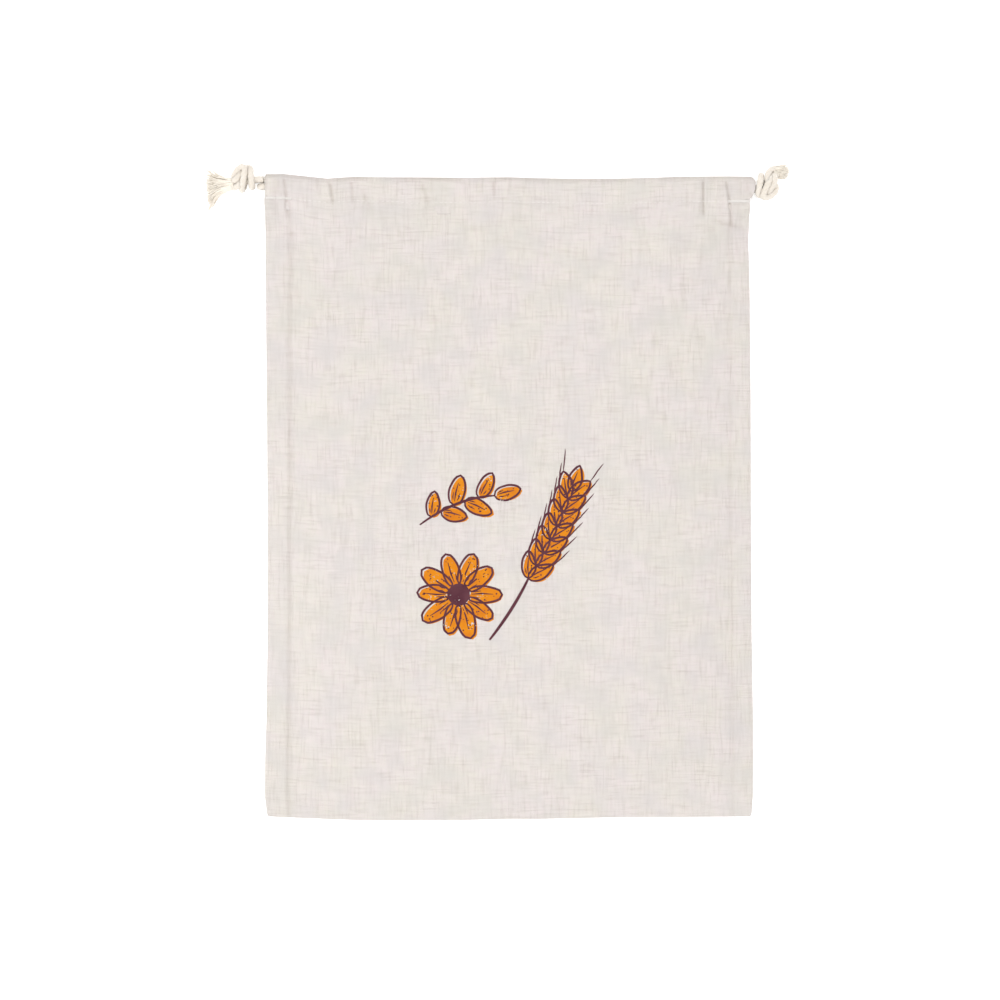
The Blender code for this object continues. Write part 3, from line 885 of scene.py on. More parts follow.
def linen_material():
    """Undyed linen: pale yarns, each a little pinker, yellower or greyer than the next."""
    material, nodes, shader = new_material("linen")
    place = cloth_place(nodes)
    weave = nodes.add("ShaderNodeGroup", node_tree=WEAVE)
    nodes.put(weave.inputs["Cloth"], place)
    tone, slub = weave.outputs["Yarn tone"], weave.outputs["Slub"]
    ground = nodes.mix(nodes.ramp(slub, 0.22, 0.50), THIN_YARN, THICK_YARN)
    pink = nodes.mix(nodes.ramp(tone, 0.52, 0.78), ground, PINK_YARN)
    yarns = nodes.mix(nodes.ramp(tone, 0.46, 0.22), pink, YELLOW_YARN)
    blotch = nodes.noise(nodes.scaled(place, 60, 60, 60), 1.0, 3.0)
    grey = nodes.mix(nodes.ramp(blotch, 0.42, 0.72), yarns, GREY_BLOTCH)
    # Painted shade: the low places of the weave, between the yarns, get a darker colour
    woven = nodes.mix(nodes.ramp(weave.outputs["Height"], 0.45, 0.85), YARN_GAP_SHADE, grey)
    # Painted shade in the sharp creases and along the mouth's fold, read from the mesh
    crease = nodes.add("ShaderNodeAttribute", attribute_name="crease").outputs["Fac"]
    woven = nodes.times(woven, nodes.mix(crease, (1, 1, 1, 1), PAINTED_CREASE_SHADE))
    cast = nodes.ramp(nodes.noise(nodes.scaled(place, 34, 26, 34), 1.0, 2.0), 0.40, 0.60)
    tint = nodes.mix(cast, PINK_CAST, YELLOW_CAST)
    nodes.put(shader.inputs["Base Color"], nodes.times(woven, tint))
    set_finish(shader, {"Roughness": 0.92, "Specular IOR Level": 0.2, "Sheen Weight": 0.12})
    bump(nodes, shader, weave.outputs["Height"], 0.55, 0.00025)
    return material


linen = linen_material()
for panel in (front_cloth, back_cloth):
    panel.data.materials.append(linen)
print("linen nodes:", len(linen.node_tree.nodes))

# %% [markdown]
# ## The table
#
# A plain pale surface, just below the bag so that the two never share a plane. It glows a little,
# as a table lit from below does, so that the shadows on it fade away.

# %% Table
TABLE_SIDE = 6.0
TABLE_DROP = 0.0003
TABLE_SHADE, TABLE_LIGHT = (0.930, 0.930, 0.930, 1), (0.950, 0.950, 0.950, 1)
corner = TABLE_SIDE / 2
table_points = np.array([(-corner, -corner), (corner, -corner), (corner, corner), (-corner, corner)])
table_points = np.column_stack([table_points, np.full(4, -TABLE_DROP)])
table = mesh_object("table", table_points, np.array([[0, 1, 2, 3]]))
pale, pale_nodes, pale_shader = new_material("pale_table")
fine_grain = pale_nodes.noise(pale_nodes.add("ShaderNodeTexCoord").outputs["Object"], 900.0, 2.0)
speckle = pale_nodes.mix(fine_grain, TABLE_SHADE, TABLE_LIGHT)
pale_nodes.put(pale_shader.inputs["Base Color"], speckle)
set_finish(pale_shader, {
    "Roughness": 0.9,
    "Emission Color": (1, 1, 1, 1),
    "Emission Strength": 0.35,
})
table.data.materials.append(pale)
table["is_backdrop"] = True
print("table laid")

# %% [markdown]
# ## Cords and knots
#
# The cord is three soft cotton strands laid round each other. Its section is not a circle but
# three lobes, and the section turns as it goes along. To carry it along a bent route we need a
# frame at each point that does not spin by itself. We take the frame of the point before and turn
# it by just as much as the route bends.
#
# Each cord goes through the front channel, round the far side, and back through the other
# channel, and its two ends are tied in one overhand knot. The points of the knot are listed in
# cord diameters, and a smooth curve runs through them.

# %% Route helpers
# The strand pair of a knot: its middle along the way out, up the bag and up from the knot's middle,
# then the same for the way from one strand to the other. Lengths are in cord diameters.
KNOT = np.array([
    (-0.60, -0.25, -0.05, 0.0, 0.1, 1.0),
    (0.40, -0.35, -0.10, 0.0, 0.0, 1.0),
    (1.20, -0.45, -0.15, 0.2, 0.0, 1.0),
    (1.55, 0.25, -0.10, 0.3, 0.1, 0.9),
    (1.10, 1.15, 0.20, 0.3, 0.3, 0.9),
    (0.25, 1.75, 0.60, 0.5, 0.2, 0.8),
    (-0.40, 1.60, 1.10, 0.85, 0.0, 0.3),
    (-0.42, 0.60, 1.50, 1.0, 0.0, 0.0),
    (-0.36, -0.60, 1.45, 1.35, -0.1, 0.0),
    (-0.32, -1.35, 0.75, 1.6, -0.4, 0.0),
    (-0.32, -1.40, -0.50, 1.5, -0.4, 0.0),
    (-0.40, -0.80, -1.40, 1.2, -0.2, 0.0),
    (-0.35, 0.30, -1.40, 1.0, 0.0, 0.0),
    (-0.10, 1.00, -0.90, 0.9, 0.2, 0.2),
    (0.30, 0.75, -0.10, 0.3, 0.8, 0.3),
    (0.75, 0.15, 0.80, 0.0, 1.0, 0.2),
])
KNOT_SQUASH = 0.86
PRESSED = 0.7
CORD_STEP, KNOT_STEP = 0.0010, 0.0006
CURVE_STEPS, ROUTE_POINTS = 24, 33
BIGHT_ANGLES = np.linspace(22.5, 157.5, 7)

# Where the pair leaves each knot
LEFT_EXIT = ((1.20, -0.60, 1.20), (1.75, -0.82, 0.75), (2.20, -0.82, 0.72))
RIGHT_EXIT = (
    (0.65, -0.65, 1.20), (0.38, -1.41, 1.20), (0.42, -2.04, 0.85),
    (0.70, -2.33, 0.60), (1.00, -2.43, 0.60),
)


def smooth_route(points, step):
    """Even points along a smooth cubic curve through the given ones.

    From b to c the curve starts along the line from a to c and ends along the line from b to d.
    """
    points = np.asarray(points, float)
    ends = np.concatenate([[2 * points[0] - points[1]], points, [2 * points[-1] - points[-2]]])
    t = np.linspace(0, 1, CURVE_STEPS, endpoint=False)[:, None]
    pieces = []
    for a, b, c, d in zip(ends, ends[1:], ends[2:], ends[3:]):
        bend = 2 * a - 5 * b + 4 * c - d + t * (3 * b - a - 3 * c + d)
        pieces.append(b + 0.5 * t * (c - a + t * bend))
    dense = np.concatenate(pieces + [points[-1:]])
    way = distances(dense)
    even = np.linspace(0, way[-1], max(3, round(way[-1] / step)))
    return np.stack([np.interp(even, way, dense[:, k]) for k in range(3)], -1)


class Side:
    """One side of the bag: which way is out, and how its knot lies.

    Flip is -1 where the knot is tied upside down, turn leans it, and row is 1 or -1 for the
    upper or lower of the two cords that share a channel.
    """

    def __init__(self, out, knot_x, knot_y, flip, turn, row, way_out):
        self.out = out
        lowest = -KNOT[:, 2].min() * KNOT_SQUASH + 0.5
        self.middle = np.array([knot_x, knot_y, lowest * CORD + GAP])
        self.flip = flip
        self.turn = math.radians(turn)
        self.row = row
        self.way_out = np.array(way_out)

    def turned(self, local):
        """A direction or length of the knot, in cord diameters, as one in the scene."""
        along, up, high = (np.asarray(local, float) * CORD).T
        cos, sin = math.cos(self.turn), math.sin(self.turn)
        up = self.flip * up
        outwards = self.out * (along * cos - up * sin)
        return np.stack([outwards, along * sin + up * cos, high * KNOT_SQUASH], -1)

    def edge(self):
        """X of the panels' edge beside the cords."""
        return np.interp(LENGTH - CHANNEL_BACK, SIDES[:, 0], SIDES[:, 1 if self.out < 0 else 2])

    def strand(self, which):
        """The route of one strand of the pair: 1 comes from the front channel, -1 from the back.

        It passes the other cord's bight, makes the knot and leaves it.
        """
        x = self.edge() + self.out * np.array([CORD_OUT + 2 * GAP, bight_reach() + CORD / 2])
        y = cord_line(x, self.row)
        first = channel_middle(x[0]) if which > 0 else CHANNEL / 2
        z = np.array([first, self.middle[2] + which * PRESSED * CORD])
        away, up = np.gradient(self.way_out[:, :2], axis=0).T
        beside = np.stack([-up, away, 0 * up], -1) / np.hypot(away, up)[:, None]
        local = np.concatenate([KNOT[:, :3], self.way_out])
        local = local + which * 0.5 * np.concatenate([KNOT[:, 3:], beside])
        return np.concatenate([np.stack([x, y, z], -1), self.middle + self.turned(local)])

    def leaving(self):
        """Where the pair ends, and its level direction there."""
        last = self.middle + self.turned(self.way_out[-2:])
        way = (last[1] - last[0]) * [1, 1, 0]
        return last[1], way / np.linalg.norm(way)


def bight_reach():
    """Half the height between the two channels' middles at the sides."""
    return (channel_middle(WIDTH / 2) - CHANNEL / 2) / 2


LEFT = Side(-1, -0.1630, 0.1965, flip=1, turn=0, row=1, way_out=LEFT_EXIT)
RIGHT = Side(1, 0.1586, 0.1926, flip=-1, turn=-16, row=-1, way_out=RIGHT_EXIT)


def cord_route(side, far_side):
    """Through the front channel, round the far side, and back through the other channel."""
    x = np.linspace(side.edge() + side.out * CORD_OUT, far_side.edge(), ROUTE_POINTS)
    y = cord_line(x, side.row)
    front = np.stack([x, y, channel_middle(x)], -1)
    back = np.stack([x, y, np.full_like(x, CHANNEL / 2)], -1)[::-1]
    reach = (front[-1, 2] - back[0, 2]) / 2
    angle = np.radians(BIGHT_ANGLES)
    bight = np.stack([
        front[-1, 0] + far_side.out * reach * np.sin(angle),
        np.full_like(angle, front[-1, 1]),
        (front[-1, 2] + back[0, 2]) / 2 + reach * np.cos(angle),
    ], -1)
    return smooth_route(np.concatenate([front, bight, back]), CORD_STEP)


print(f"the left cord's route has {len(cord_route(LEFT, RIGHT))} points")

# %% Three-strand cord
# Any direction that no route starts along
ASIDE = (0.3, 0.2, 1.0)


def still_frames(route):
    """Two directions across the route at each point that turn only as much as the route bends."""
    way = np.gradient(route, axis=0)
    way /= np.linalg.norm(way, axis=1)[:, None]
    first = np.cross(way[0], ASIDE)
    side = [first / np.linalg.norm(first)]
    for direction in way[1:]:
        kept = side[-1] - direction * (side[-1] @ direction)
        side.append(kept / np.linalg.norm(kept))
    side = np.array(side)
    return side, np.cross(way, side)


CORD_SIDES = 24
PLIES = 3
PLY_GROOVE = 0.20
LAY = 0.0105
# How much the cord swells and thins, and how fast along it, in radians per metre
SWELLING, SWELL_RATE = 0.03, 2100
# How far those swells are pushed to and fro, in radians, and how fast along the cord
DRIFT, DRIFT_RATE = 3, 310


def cord_tube(route):
    """Points, faces and UV of a three-lobed tube.

    The radius is full on each lobe and less in the grooves: one less the groove's depth, plus
    that depth times the root of the size of cos(3/2 of the angle). The angle is counted from the
    lay's own angle, which goes once round for each lay length. A sine wave along the cord, itself
    pushed to and fro by a slower one, swells and thins it a little.
    """
    one, two = still_frames(route)
    along, angle = distances(route), ring_angles(CORD_SIDES)
    lay = along[:, None] * math.tau / LAY
    groove = np.sqrt(np.abs(np.cos(PLIES / 2 * (angle - lay)))) * PLY_GROOVE + 1 - PLY_GROOVE
    drift = DRIFT * np.sin(along[:, None] * DRIFT_RATE)
    reach = CORD / 2 * groove * (1 + SWELLING * np.sin(along[:, None] * SWELL_RATE + drift))
    points = carried(route, one, two, angle, reach).reshape(-1, 3)
    faces = grid_faces(len(route), CORD_SIDES, True)
    uv = np.stack([
        np.broadcast_to(angle / math.tau, reach.shape),
        np.broadcast_to(along[:, None], reach.shape),
    ], -1).reshape(-1, 2)
    caps = []
    for row in (0, len(route) - 1):
        ring = row * CORD_SIDES + np.arange(CORD_SIDES)
        middle = np.full(CORD_SIDES // 2, len(points) + len(caps))
        caps.append(np.stack([ring[0::2], ring[1::2], np.roll(ring[0::2], -1), middle], -1))
    faces = np.concatenate([faces[:, ::-1], caps[0], caps[1][:, ::-1]])
    uv = np.concatenate([uv, [[0.5, 0], [0.5, along[-1]]]])
    return np.concatenate([points, route[[0, -1]]]), faces, uv


def joined(parts):
    """Several (points, faces, uv) in one, faces counted on."""
    points, faces, uv, first = [], [], [], 0
    for part_points, part_faces, part_uv in parts:
        points.append(part_points)
        faces.append(part_faces + first)
        uv.append(part_uv)
        first += len(part_points)
    return np.concatenate(points), np.concatenate(faces), np.concatenate(uv)


def soft_piece(name, parts, slot, *replaced):
    """One object from several parts, in place of the solids that it replaces."""
    item = mesh_object(name, *joined(parts))
    if replaced:
        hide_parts(*replaced)
    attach(item, "root")
    report_piece(item)
    return item


print(f"cord {CORD * 1000:.0f} mm thick, laid once round in {LAY * 1000:.1f} mm")


# %% Lay the cords and tie the knots
def cords_of(name, side, far_side):
    """One cord in its channels and the two strands of its knot, with the lengths of both."""
    route = cord_route(side, far_side)
    rope = soft_piece(name + "_rope", [cord_tube(route)], "cotton_cord", name + "_cord")
    strands = [smooth_route(side.strand(k), KNOT_STEP) for k in (1, -1)]
    tubes = [cord_tube(strand) for strand in strands]
    tied = soft_piece(name + "_tie", tubes, "cotton_cord", name + "_knot")
    length = float(distances(route)[-1])
    knotted = sum(distances(strand)[-1] for strand in strands)
    print(f"{name}: {length:.3f} m in the channels, {knotted:.3f} m in the knot")
    return rope, tied, route, length


left_rope, left_tie, left_route, left_length = cords_of("left", LEFT, RIGHT)
right_rope, right_tie, right_route, right_length = cords_of("right", RIGHT, LEFT)

# %% [markdown]
# ## Frayed ends
#
# Beyond each knot the cord has come undone into loose yarns. Each yarn is a thin curve of its own,
# from the end of the cord to a place on the brush's outer edge, and a few hundred of them make the
# soft tuft that the eye sees. One solid tuft with a hairy picture on it would look cut out from
# the side. The random numbers start from a fixed seed, so that each run gives the same yarns.

# %% Frayed ends
# x and y of the outer edge's upper end and of its lower end, how far the edge bulges out, and the
# lowest and the highest tip
LEFT_FRAY = (0.1876, 0.2030, 0.1866, 0.1770, 0.0, 0.0005, 0.0045)
RIGHT_FRAY = (0.1712, 0.2058, 0.1712, 0.1964, 0.0018, 0.0035, 0.0090)
LEFT_YARNS, RIGHT_YARNS = 260, 200
# How far the roots spread sideways and upwards, and how deep in the cord they start
ROOT_WIDE, ROOT_HIGH, ROOT_SUNK = 0.0037, 0.0022, 0.0015
# How far the tips stray, as a share of the outer edge and in height, and fall short of that edge
STRAY, STRAY_HEIGHT, SHORTER = 0.22, 0.0004, 0.0045
# Share of its way for which a yarn heads straight on from the cord
STRAIGHT_ON = 0.45
YARN_STEPS = 14
YARN_WAVE = 0.00032
YARN_FLOOR = 0.0004
YARN_RADIUS = (0.00022, 0.00040)
YARN_TAPER = 0.55
YARN_SPAN = 0.020


def fray(name, side, corners, yarns, seed, replaced):
    """Loose yarns from the two cord ends to the fray's outer edge.

    Each yarn is a quadratic curve from its root to its tip, which sets out along the cord. A small
    wave is added to it, and a four-sided section that thins towards the tip is carried along it.
    """
    draw = np.random.default_rng(seed)
    top_x, top_y, low_x, low_y, bulge, lowest, highest = corners
    root_middle, way = side.leaving()
    wide = np.cross([0, 0, 1], way) * side.out
    ring, angle = np.sqrt(draw.uniform(0, 1, yarns)), draw.uniform(0, math.tau, yarns)
    sideways, upright = ring * np.cos(angle), ring * np.sin(angle)
    root = root_middle - way * ROOT_SUNK + wide * (sideways * ROOT_WIDE)[:, None]
    root[:, 2] += upright * ROOT_HIGH
    share = (np.clip(sideways + draw.normal(0, STRAY, yarns), -1, 1) + 1) / 2
    short = draw.uniform(0, 1, yarns) ** 2 * SHORTER
    tip = np.stack([
        side.out * (low_x + (top_x - low_x) * share + bulge * (1 - (2 * share - 1) ** 2) - short),
        low_y + (top_y - low_y) * share,
        (lowest + highest) / 2 + (highest - lowest) / 2 * upright + draw.normal(0, STRAY_HEIGHT, yarns),
    ], -1)
    bend = root + way * (STRAIGHT_ON * np.linalg.norm(tip - root, axis=1))[:, None]
    bend[:, 2] = tip[:, 2]
    t = np.linspace(0, 1, YARN_STEPS)[None, :, None]
    line = (1 - t) ** 2 * root[:, None] + 2 * t * (1 - t) * bend[:, None] + t * t * tip[:, None]
    phase = draw.uniform(0, math.tau, (yarns, 1, 3))
    rate = draw.uniform(6, 15, (yarns, 1, 3))
    line = line + YARN_WAVE * np.sin(t * rate + phase) * np.sqrt(t) * [1, 1, 0.6]
    line[..., 2] = np.maximum(line[..., 2], YARN_FLOOR)
    direction = np.gradient(line, axis=1)
    direction /= np.linalg.norm(direction, axis=2)[..., None]
    across_one = np.cross(direction, [0, 0, 1])
    across_one /= np.linalg.norm(across_one, axis=2)[..., None]
    across_two = np.cross(direction, across_one)
    radius = draw.uniform(*YARN_RADIUS, (yarns, 1)) * (1 - YARN_TAPER * t[..., 0] ** 2)
    points = carried(line, across_one, across_two, ring_angles(4), radius[..., None])
    cap = np.arange(4)
    caps = np.array([cap, 4 * YARN_STEPS - 1 - cap])
    faces = np.concatenate([grid_faces(YARN_STEPS, 4, True)[:, ::-1], caps])
    along = np.repeat(np.linspace(0, YARN_SPAN, YARN_STEPS), 4)
    parts = [
        (yarn.reshape(-1, 3), faces, np.stack([np.full(len(along), k / yarns), along], -1))
        for k, yarn in enumerate(points)
    ]
    return soft_piece(name, parts, "frayed_yarn", replaced)


left_fray = fray("left_fray", LEFT, LEFT_FRAY, LEFT_YARNS, 11, "left_tail")
right_fray = fray("right_fray", RIGHT, RIGHT_FRAY, RIGHT_YARNS, 12, "right_tail")

# %% [markdown]
# ## Cotton
#
# Cotton yarn is a bundle of fine fibres that run round the cord with its lay. Stretched noise in
# the cord's own coordinates gives them: fine across the fibres, long along them, and leaning as
# the lay leans. A thick cord also lets some light in, which softens its shadows, so the cords
# scatter light under their surface. The loose yarns are too thin for that and are paler.

# %% Cotton material
COTTON, COTTON_SHADE = (0.69, 0.64, 0.58, 1), (0.61, 0.56, 0.49, 1)
LOOSE, LOOSE_SHADE = (0.84, 0.79, 0.71, 1), (0.76, 0.69, 0.59, 1)
LIGHT_INSIDE = 0.5
# Fibres once round the cord, and how often they change in a metre along it
FIBRES_ROUND, FIBRES_ALONG = 40.0, 260.0


def cotton_material(name, light, shade, inside=0.0):
    """Soft cotton: fine fibres that run with the lay, and light that gets inside thick cords."""
    material, nodes, shader = new_material(name)
    place = cloth_place(nodes)
    split = nodes.add("ShaderNodeSeparateXYZ")
    nodes.put(split.inputs[0], place)
    lean = nodes.math("SUBTRACT", split.outputs[0], nodes.math("DIVIDE", split.outputs[1], LAY))
    fibre_place = nodes.add("ShaderNodeCombineXYZ")
    nodes.put(fibre_place.inputs[0], nodes.math("MULTIPLY", lean, FIBRES_ROUND))
    nodes.put(fibre_place.inputs[1], nodes.math("MULTIPLY", split.outputs[1], FIBRES_ALONG))
    fibre = nodes.noise(fibre_place.outputs[0], 1.0, 3.0)
    patch = nodes.noise(nodes.add("ShaderNodeTexCoord").outputs["Object"], 170.0, 2.0)
    tone = nodes.math("MULTIPLY_ADD", fibre, 0.6, nodes.math("MULTIPLY", patch, 0.4))
    nodes.put(shader.inputs["Base Color"], nodes.mix(nodes.ramp(tone, 0.34, 0.62), shade, light))
    set_finish(shader, {
        "Roughness": 0.95,
        "Specular IOR Level": 0.15,
        "Sheen Weight": 0.25,
        "Subsurface Weight": inside,
        "Subsurface Radius": (1, 1, 1),
        "Subsurface Scale": 0.0015,
    })
    bump(nodes, shader, fibre, 0.5, 0.0003)
    return material


cotton = cotton_material("cotton_cord", COTTON, COTTON_SHADE, LIGHT_INSIDE)
loose_cotton = cotton_material("loose_cotton", LOOSE, LOOSE_SHADE)
for title, material, items in (
    ("cotton", cotton, (left_rope, right_rope, left_tie, right_tie)),
    ("loose cotton", loose_cotton, (left_fray, right_fray)),
):
    for item in items:
        item.data.materials.append(material)
    print(title, "on", len(items), "pieces")

# %% [markdown]
# ## Stitches
#
# The turned edge is sewn down with a lockstitch: short threads, each a little sunk at both ends,
# with a hole between them. One stitch is only a few dozen faces, and all of them are one mesh,
# because hundreds of objects would be slow to handle. Where the seam starts and ends, the machine
# has sewn to and fro, so at both sides there is a thick white bar.

# %% Stitches on the cloth
THREAD_RINGS, THREAD_SIDES = 7, 6
THREAD_END = 0.03
STITCH = 0.0030
STITCH_HOLE = 0.0005
STITCH_BULGE = 0.0001
THREAD = 0.00032


def thread_runs(starts, stops, thick, bulge):
    """Short round threads from start to stop whose middle stands up by the bulge.

    Each is carried along half a sine wave, and its radius grows and shrinks as that wave's root.
    """
    t = np.linspace(0, 1, THREAD_RINGS)
    arch = np.sin(math.pi * t)
    line = starts[:, None] + (stops - starts)[:, None] * t[None, :, None]
    line[..., 2] += bulge * arch
    way = stops - starts
    way /= np.linalg.norm(way, axis=1)[:, None]
    up = np.array([0, 0, 1])
    flat = np.cross(way, up)[:, None]
    radius = thick / 2 * np.sqrt(np.maximum(arch, THREAD_END))
    angle = ring_angles(THREAD_SIDES)
    points = carried(line, flat, up, angle, radius[:, None])
    faces = grid_faces(THREAD_RINGS, THREAD_SIDES, True)[:, ::-1]
    caps = np.array([[0, 1, 2, 3], [0, 3, 4, 5]])
    last_caps = (THREAD_RINGS - 1) * THREAD_SIDES + caps[:, ::-1]
    one = np.concatenate([faces, caps, last_caps])
    count = len(starts)
    first = np.arange(count) * THREAD_RINGS * THREAD_SIDES
    all_faces = (one[None] + first[:, None, None]).reshape(-1, 4)
    uv = np.stack([
        np.tile(np.repeat(t * STITCH, THREAD_SIDES), count),
        np.tile(angle / math.tau, THREAD_RINGS * count),
    ], -1)
    return points.reshape(-1, 3), all_faces, uv


SEAM_LEFT, SEAM_RIGHT = -0.1480, 0.1460
SEAM_UP = 0.0008
BACK_THREAD = 0.6 * THREAD


def seam_points(x, over):
    """Points on the sewn line, a little over the cloth where asked."""
    y = stitch_line(x) + SEAM_UP
    height = channel_middle(x) + CLOTH + folded(x, y)
    return np.stack([x, y - stitch_shift(x, y), height + over], -1)


start = np.arange(SEAM_LEFT, SEAM_RIGHT, STITCH)
stop = start + STITCH - STITCH_HOLE
front_stitches = thread_runs(seam_points(start, 0), seam_points(stop, 0), THREAD, STITCH_BULGE)
back_start = np.stack([start, stitch_line(start) + SEAM_UP, np.zeros_like(start)], -1)
back_stop = back_start + [STITCH - STITCH_HOLE, 0, 0]
back_stitches = thread_runs(back_start, back_stop, BACK_THREAD, 0)

# x of both ends of each bar
BARS = ((-0.1502, -0.1345), (0.1352, 0.1480))
BAR_PITCH = 0.00032
BAR_LEAN = 0.6 * BAR_PITCH
BAR_HALF = 0.0011
BAR_OVER = 0.00005
BAR_THREAD, BAR_BULGE = 0.00042, 0.00022
bars = []
for left, right in BARS:
    x = np.arange(left, right, BAR_PITCH)
    upper, lower = seam_points(x, BAR_OVER), seam_points(x + BAR_LEAN, BAR_OVER)
    upper[:, 1] += BAR_HALF
    lower[:, 1] -= BAR_HALF
    bars.append(thread_runs(lower, upper, BAR_THREAD, BAR_BULGE))
seam_thread = soft_piece("seam_thread", [front_stitches, back_stitches, *bars], "cotton_cord")

# %% [markdown]
# ## The printed pattern
#
# The print is a wheat ear, a daisy and a sprig, in orange with dark outlines that were printed a
# little out of register. Ink is a very thin skin on the yarns, so each motif is a flat patch or a
# ribbon that follows the cloth about a tenth of a millimetre above it. The patches use the
# cloth's own weave coordinates, so that the weave goes on through the ink.
#
# The shapes are drawn in millimetres by a few formulas: petals and leaves are the same pointed
# oval with different widths, and lines are ribbons whose width swells and fades as a brush's.

# %% Ink patches and lines
INK_OVER, LINE_OVER, HEART_OVER = 0.00006, 0.00010, 0.00014
PATCH_RINGS = (1.0, 0.85, 0.6, 0.3, 0.04)


def cloth_height(x, y):
    """Upper face of the front panel below the channel, where the print lies."""
    return body_top(x, y) + folded(x, y)


def on_cloth(flat, over):
    """Points and weave coordinates on the cloth, from x and y in millimetres."""
    x, y = flat[..., 0] / 1000, flat[..., 1] / 1000
    top, bottom = (np.interp(x, ENDS[:, 0], ENDS[:, k]) for k in (1, 2))
    place = y + TOP - bottom - (top - bottom) * ease((y + TOP) / LENGTH)
    points = np.stack([x, y, cloth_height(x, y) + over], -1)
    return points.reshape(-1, 3), np.stack([x, place], -1).reshape(-1, 2)


def patch(border, over=INK_OVER):
    """A filled shape: rings that shrink from its border to its middle."""
    middle = border.mean(axis=0)
    rings = np.array(PATCH_RINGS)[:, None, None]
    flat = middle + (border - middle)[None] * rings
    points, uv = on_cloth(flat, over)
    faces = grid_faces(len(PATCH_RINGS), len(border), True)
    last = (len(PATCH_RINGS) - 1) * len(border)
    half = len(border) // 2
    k = np.arange(half - 1)
    cap = last + np.stack([k, k + 1, len(border) - 2 - k, len(border) - 1 - k], -1)
    return points, np.concatenate([faces, cap]), uv


BRUSH_SWELL = 0.6


def ribbon(line, width, taper=0.35):
    """A brush line: its width swells from the taper's share at the ends to full in the middle.

    In between it follows half a sine wave to the power of the brush's swell.
    """
    line = np.asarray(line, float)
    way = np.gradient(line, axis=0)
    way /= np.linalg.norm(way, axis=1)[:, None]
    square = np.stack([-way[:, 1], way[:, 0]], -1)
    t = np.linspace(0, 1, len(line))
    half = width / 2 * (taper + (1 - taper) * np.sin(math.pi * t) ** BRUSH_SWELL)[:, None]
    flat = np.stack([line + square * half, line, line - square * half], 1)
    points, uv = on_cloth(flat, LINE_OVER)
    return points, grid_faces(len(line), 3), uv


OVAL_POINTS = 28
ROOT_HEAVY = 0.85


def oval_half(t, width, tip):
    """Half an oval's width at a share of its length: a sine wave to the power of half the tip.

    The share is first raised to a power under 1, which brings the widest place nearer the root.
    """
    return width / 2 * np.sin(math.pi * t ** ROOT_HEAVY) ** (tip / 2)


def oval(length, width, tip):
    """The border of a pointed oval along x from 0."""
    t = np.linspace(0, 1, OVAL_POINTS // 2 + 1)
    half = oval_half(t, width, tip)
    upper = np.stack([t * length, half], -1)
    return np.concatenate([upper[:-1], (upper * [1, -1])[::-1][:-1]])


def turned_to(shape, degrees, place, size=1.0):
    """A shape turned, sized and moved, in millimetres."""
    cos, sin = math.cos(math.radians(degrees)), math.sin(math.radians(degrees))
    return size * shape @ np.array([[cos, sin], [-sin, cos]]) + place


def wobble(line, amount, seed):
    """A hand-drawn line: slow random waves added across it."""
    draw = np.random.default_rng(seed)
    t = np.linspace(0, 1, len(line))[:, None]
    waves = sum(np.sin(math.tau * k * t + draw.uniform(0, math.tau, 2)) / k for k in (1, 2, 3, 5))
    return line + amount * waves


def closed(border):
    """A border as a line that runs round it and a little on."""
    return np.concatenate([border, border[:2]])


def disc(count):
    """Points clockwise round a circle of radius 1."""
    angle = np.linspace(0, math.tau, count, endpoint=False)[::-1]
    return np.stack([np.cos(angle), np.sin(angle)], -1)


fills, outlines = [], []
OUT_OF_REGISTER = np.array([1.1, -0.8])
LINE = 1.35
VEIN, STROKE = 0.75 * LINE, 0.6 * LINE
DOT_RADIUS = (0.28, 0.55)


def leaf(length, width, tip, turn, place, size, seed, dots):
    """A petal, grain or leaf: a fill a little off its outline, a vein, two strokes and dots."""
    def put(x, y):
        """Points given as shares of the length and the width."""
        points = np.stack([np.asarray(x) * length, np.asarray(y) * width], -1)
        return turned_to(points, turn, place, size)

    draw = np.random.default_rng(seed)
    shape = turned_to(oval(length, width, tip), turn, place, size)
    fills.append(patch(wobble(shape, 0.15, seed) + OUT_OF_REGISTER))
    outlines.append(ribbon(closed(wobble(shape, 0.18, seed + 1)), LINE, taper=0.7))
    outlines.append(ribbon(put([0.12, 0.40, 0.75], [0.02, 0.06, 0.02]), VEIN))
    for side in (-1, 1):
        reach = draw.uniform(0.32, 0.46)
        stroke = put([0.16, 0.25, reach], side * np.array([0.13, 0.19, 0.21]))
        outlines.append(ribbon(stroke, STROKE))
    t, across_it = draw.uniform(0.30, 0.86, dots), draw.uniform(-0.75, 0.75, dots)
    spots = put(t, across_it * oval_half(t, 1, tip))
    for spot, radius in zip(spots, draw.uniform(*DOT_RADIUS, dots)):
        outlines.append(patch(spot + radius * disc(6), LINE_OVER))


def report_print(motif):
    """Print how many shapes are drawn, with this motif and the ones before it."""
    print(f"{motif}: {len(fills)} fills and {len(outlines)} lines and dots so far")


print("an oval's border has", len(oval(20, 10, 1.4)), "points")


# %% Wheat ear
EAR_ROOT, EAR_LEAN, EAR_TURN, EAR_LENGTH = np.array([12.0, -50.0]), 58.0, 14.0, 70.0
# Length, width and tip of a grain
GRAIN = (17.0, 8.8, 1.4)
GRAIN_PAIRS = 7
LAST_PAIR, TOP_GRAIN = EAR_LENGTH - 15, EAR_LENGTH - 10
GRAIN_SPREAD, AWN_SPREAD = 31.0, 16.0
AWN_LENGTH = 14.0
GRAIN_DOTS = 5


def ear_point(along):
    """A point on the ear's slightly bent middle line, and the line's direction in degrees."""
    lean = EAR_LEAN + EAR_TURN * along / EAR_LENGTH
    mean = math.radians((EAR_LEAN + lean) / 2)
    return EAR_ROOT + along * np.array([math.cos(mean), math.sin(mean)]), lean


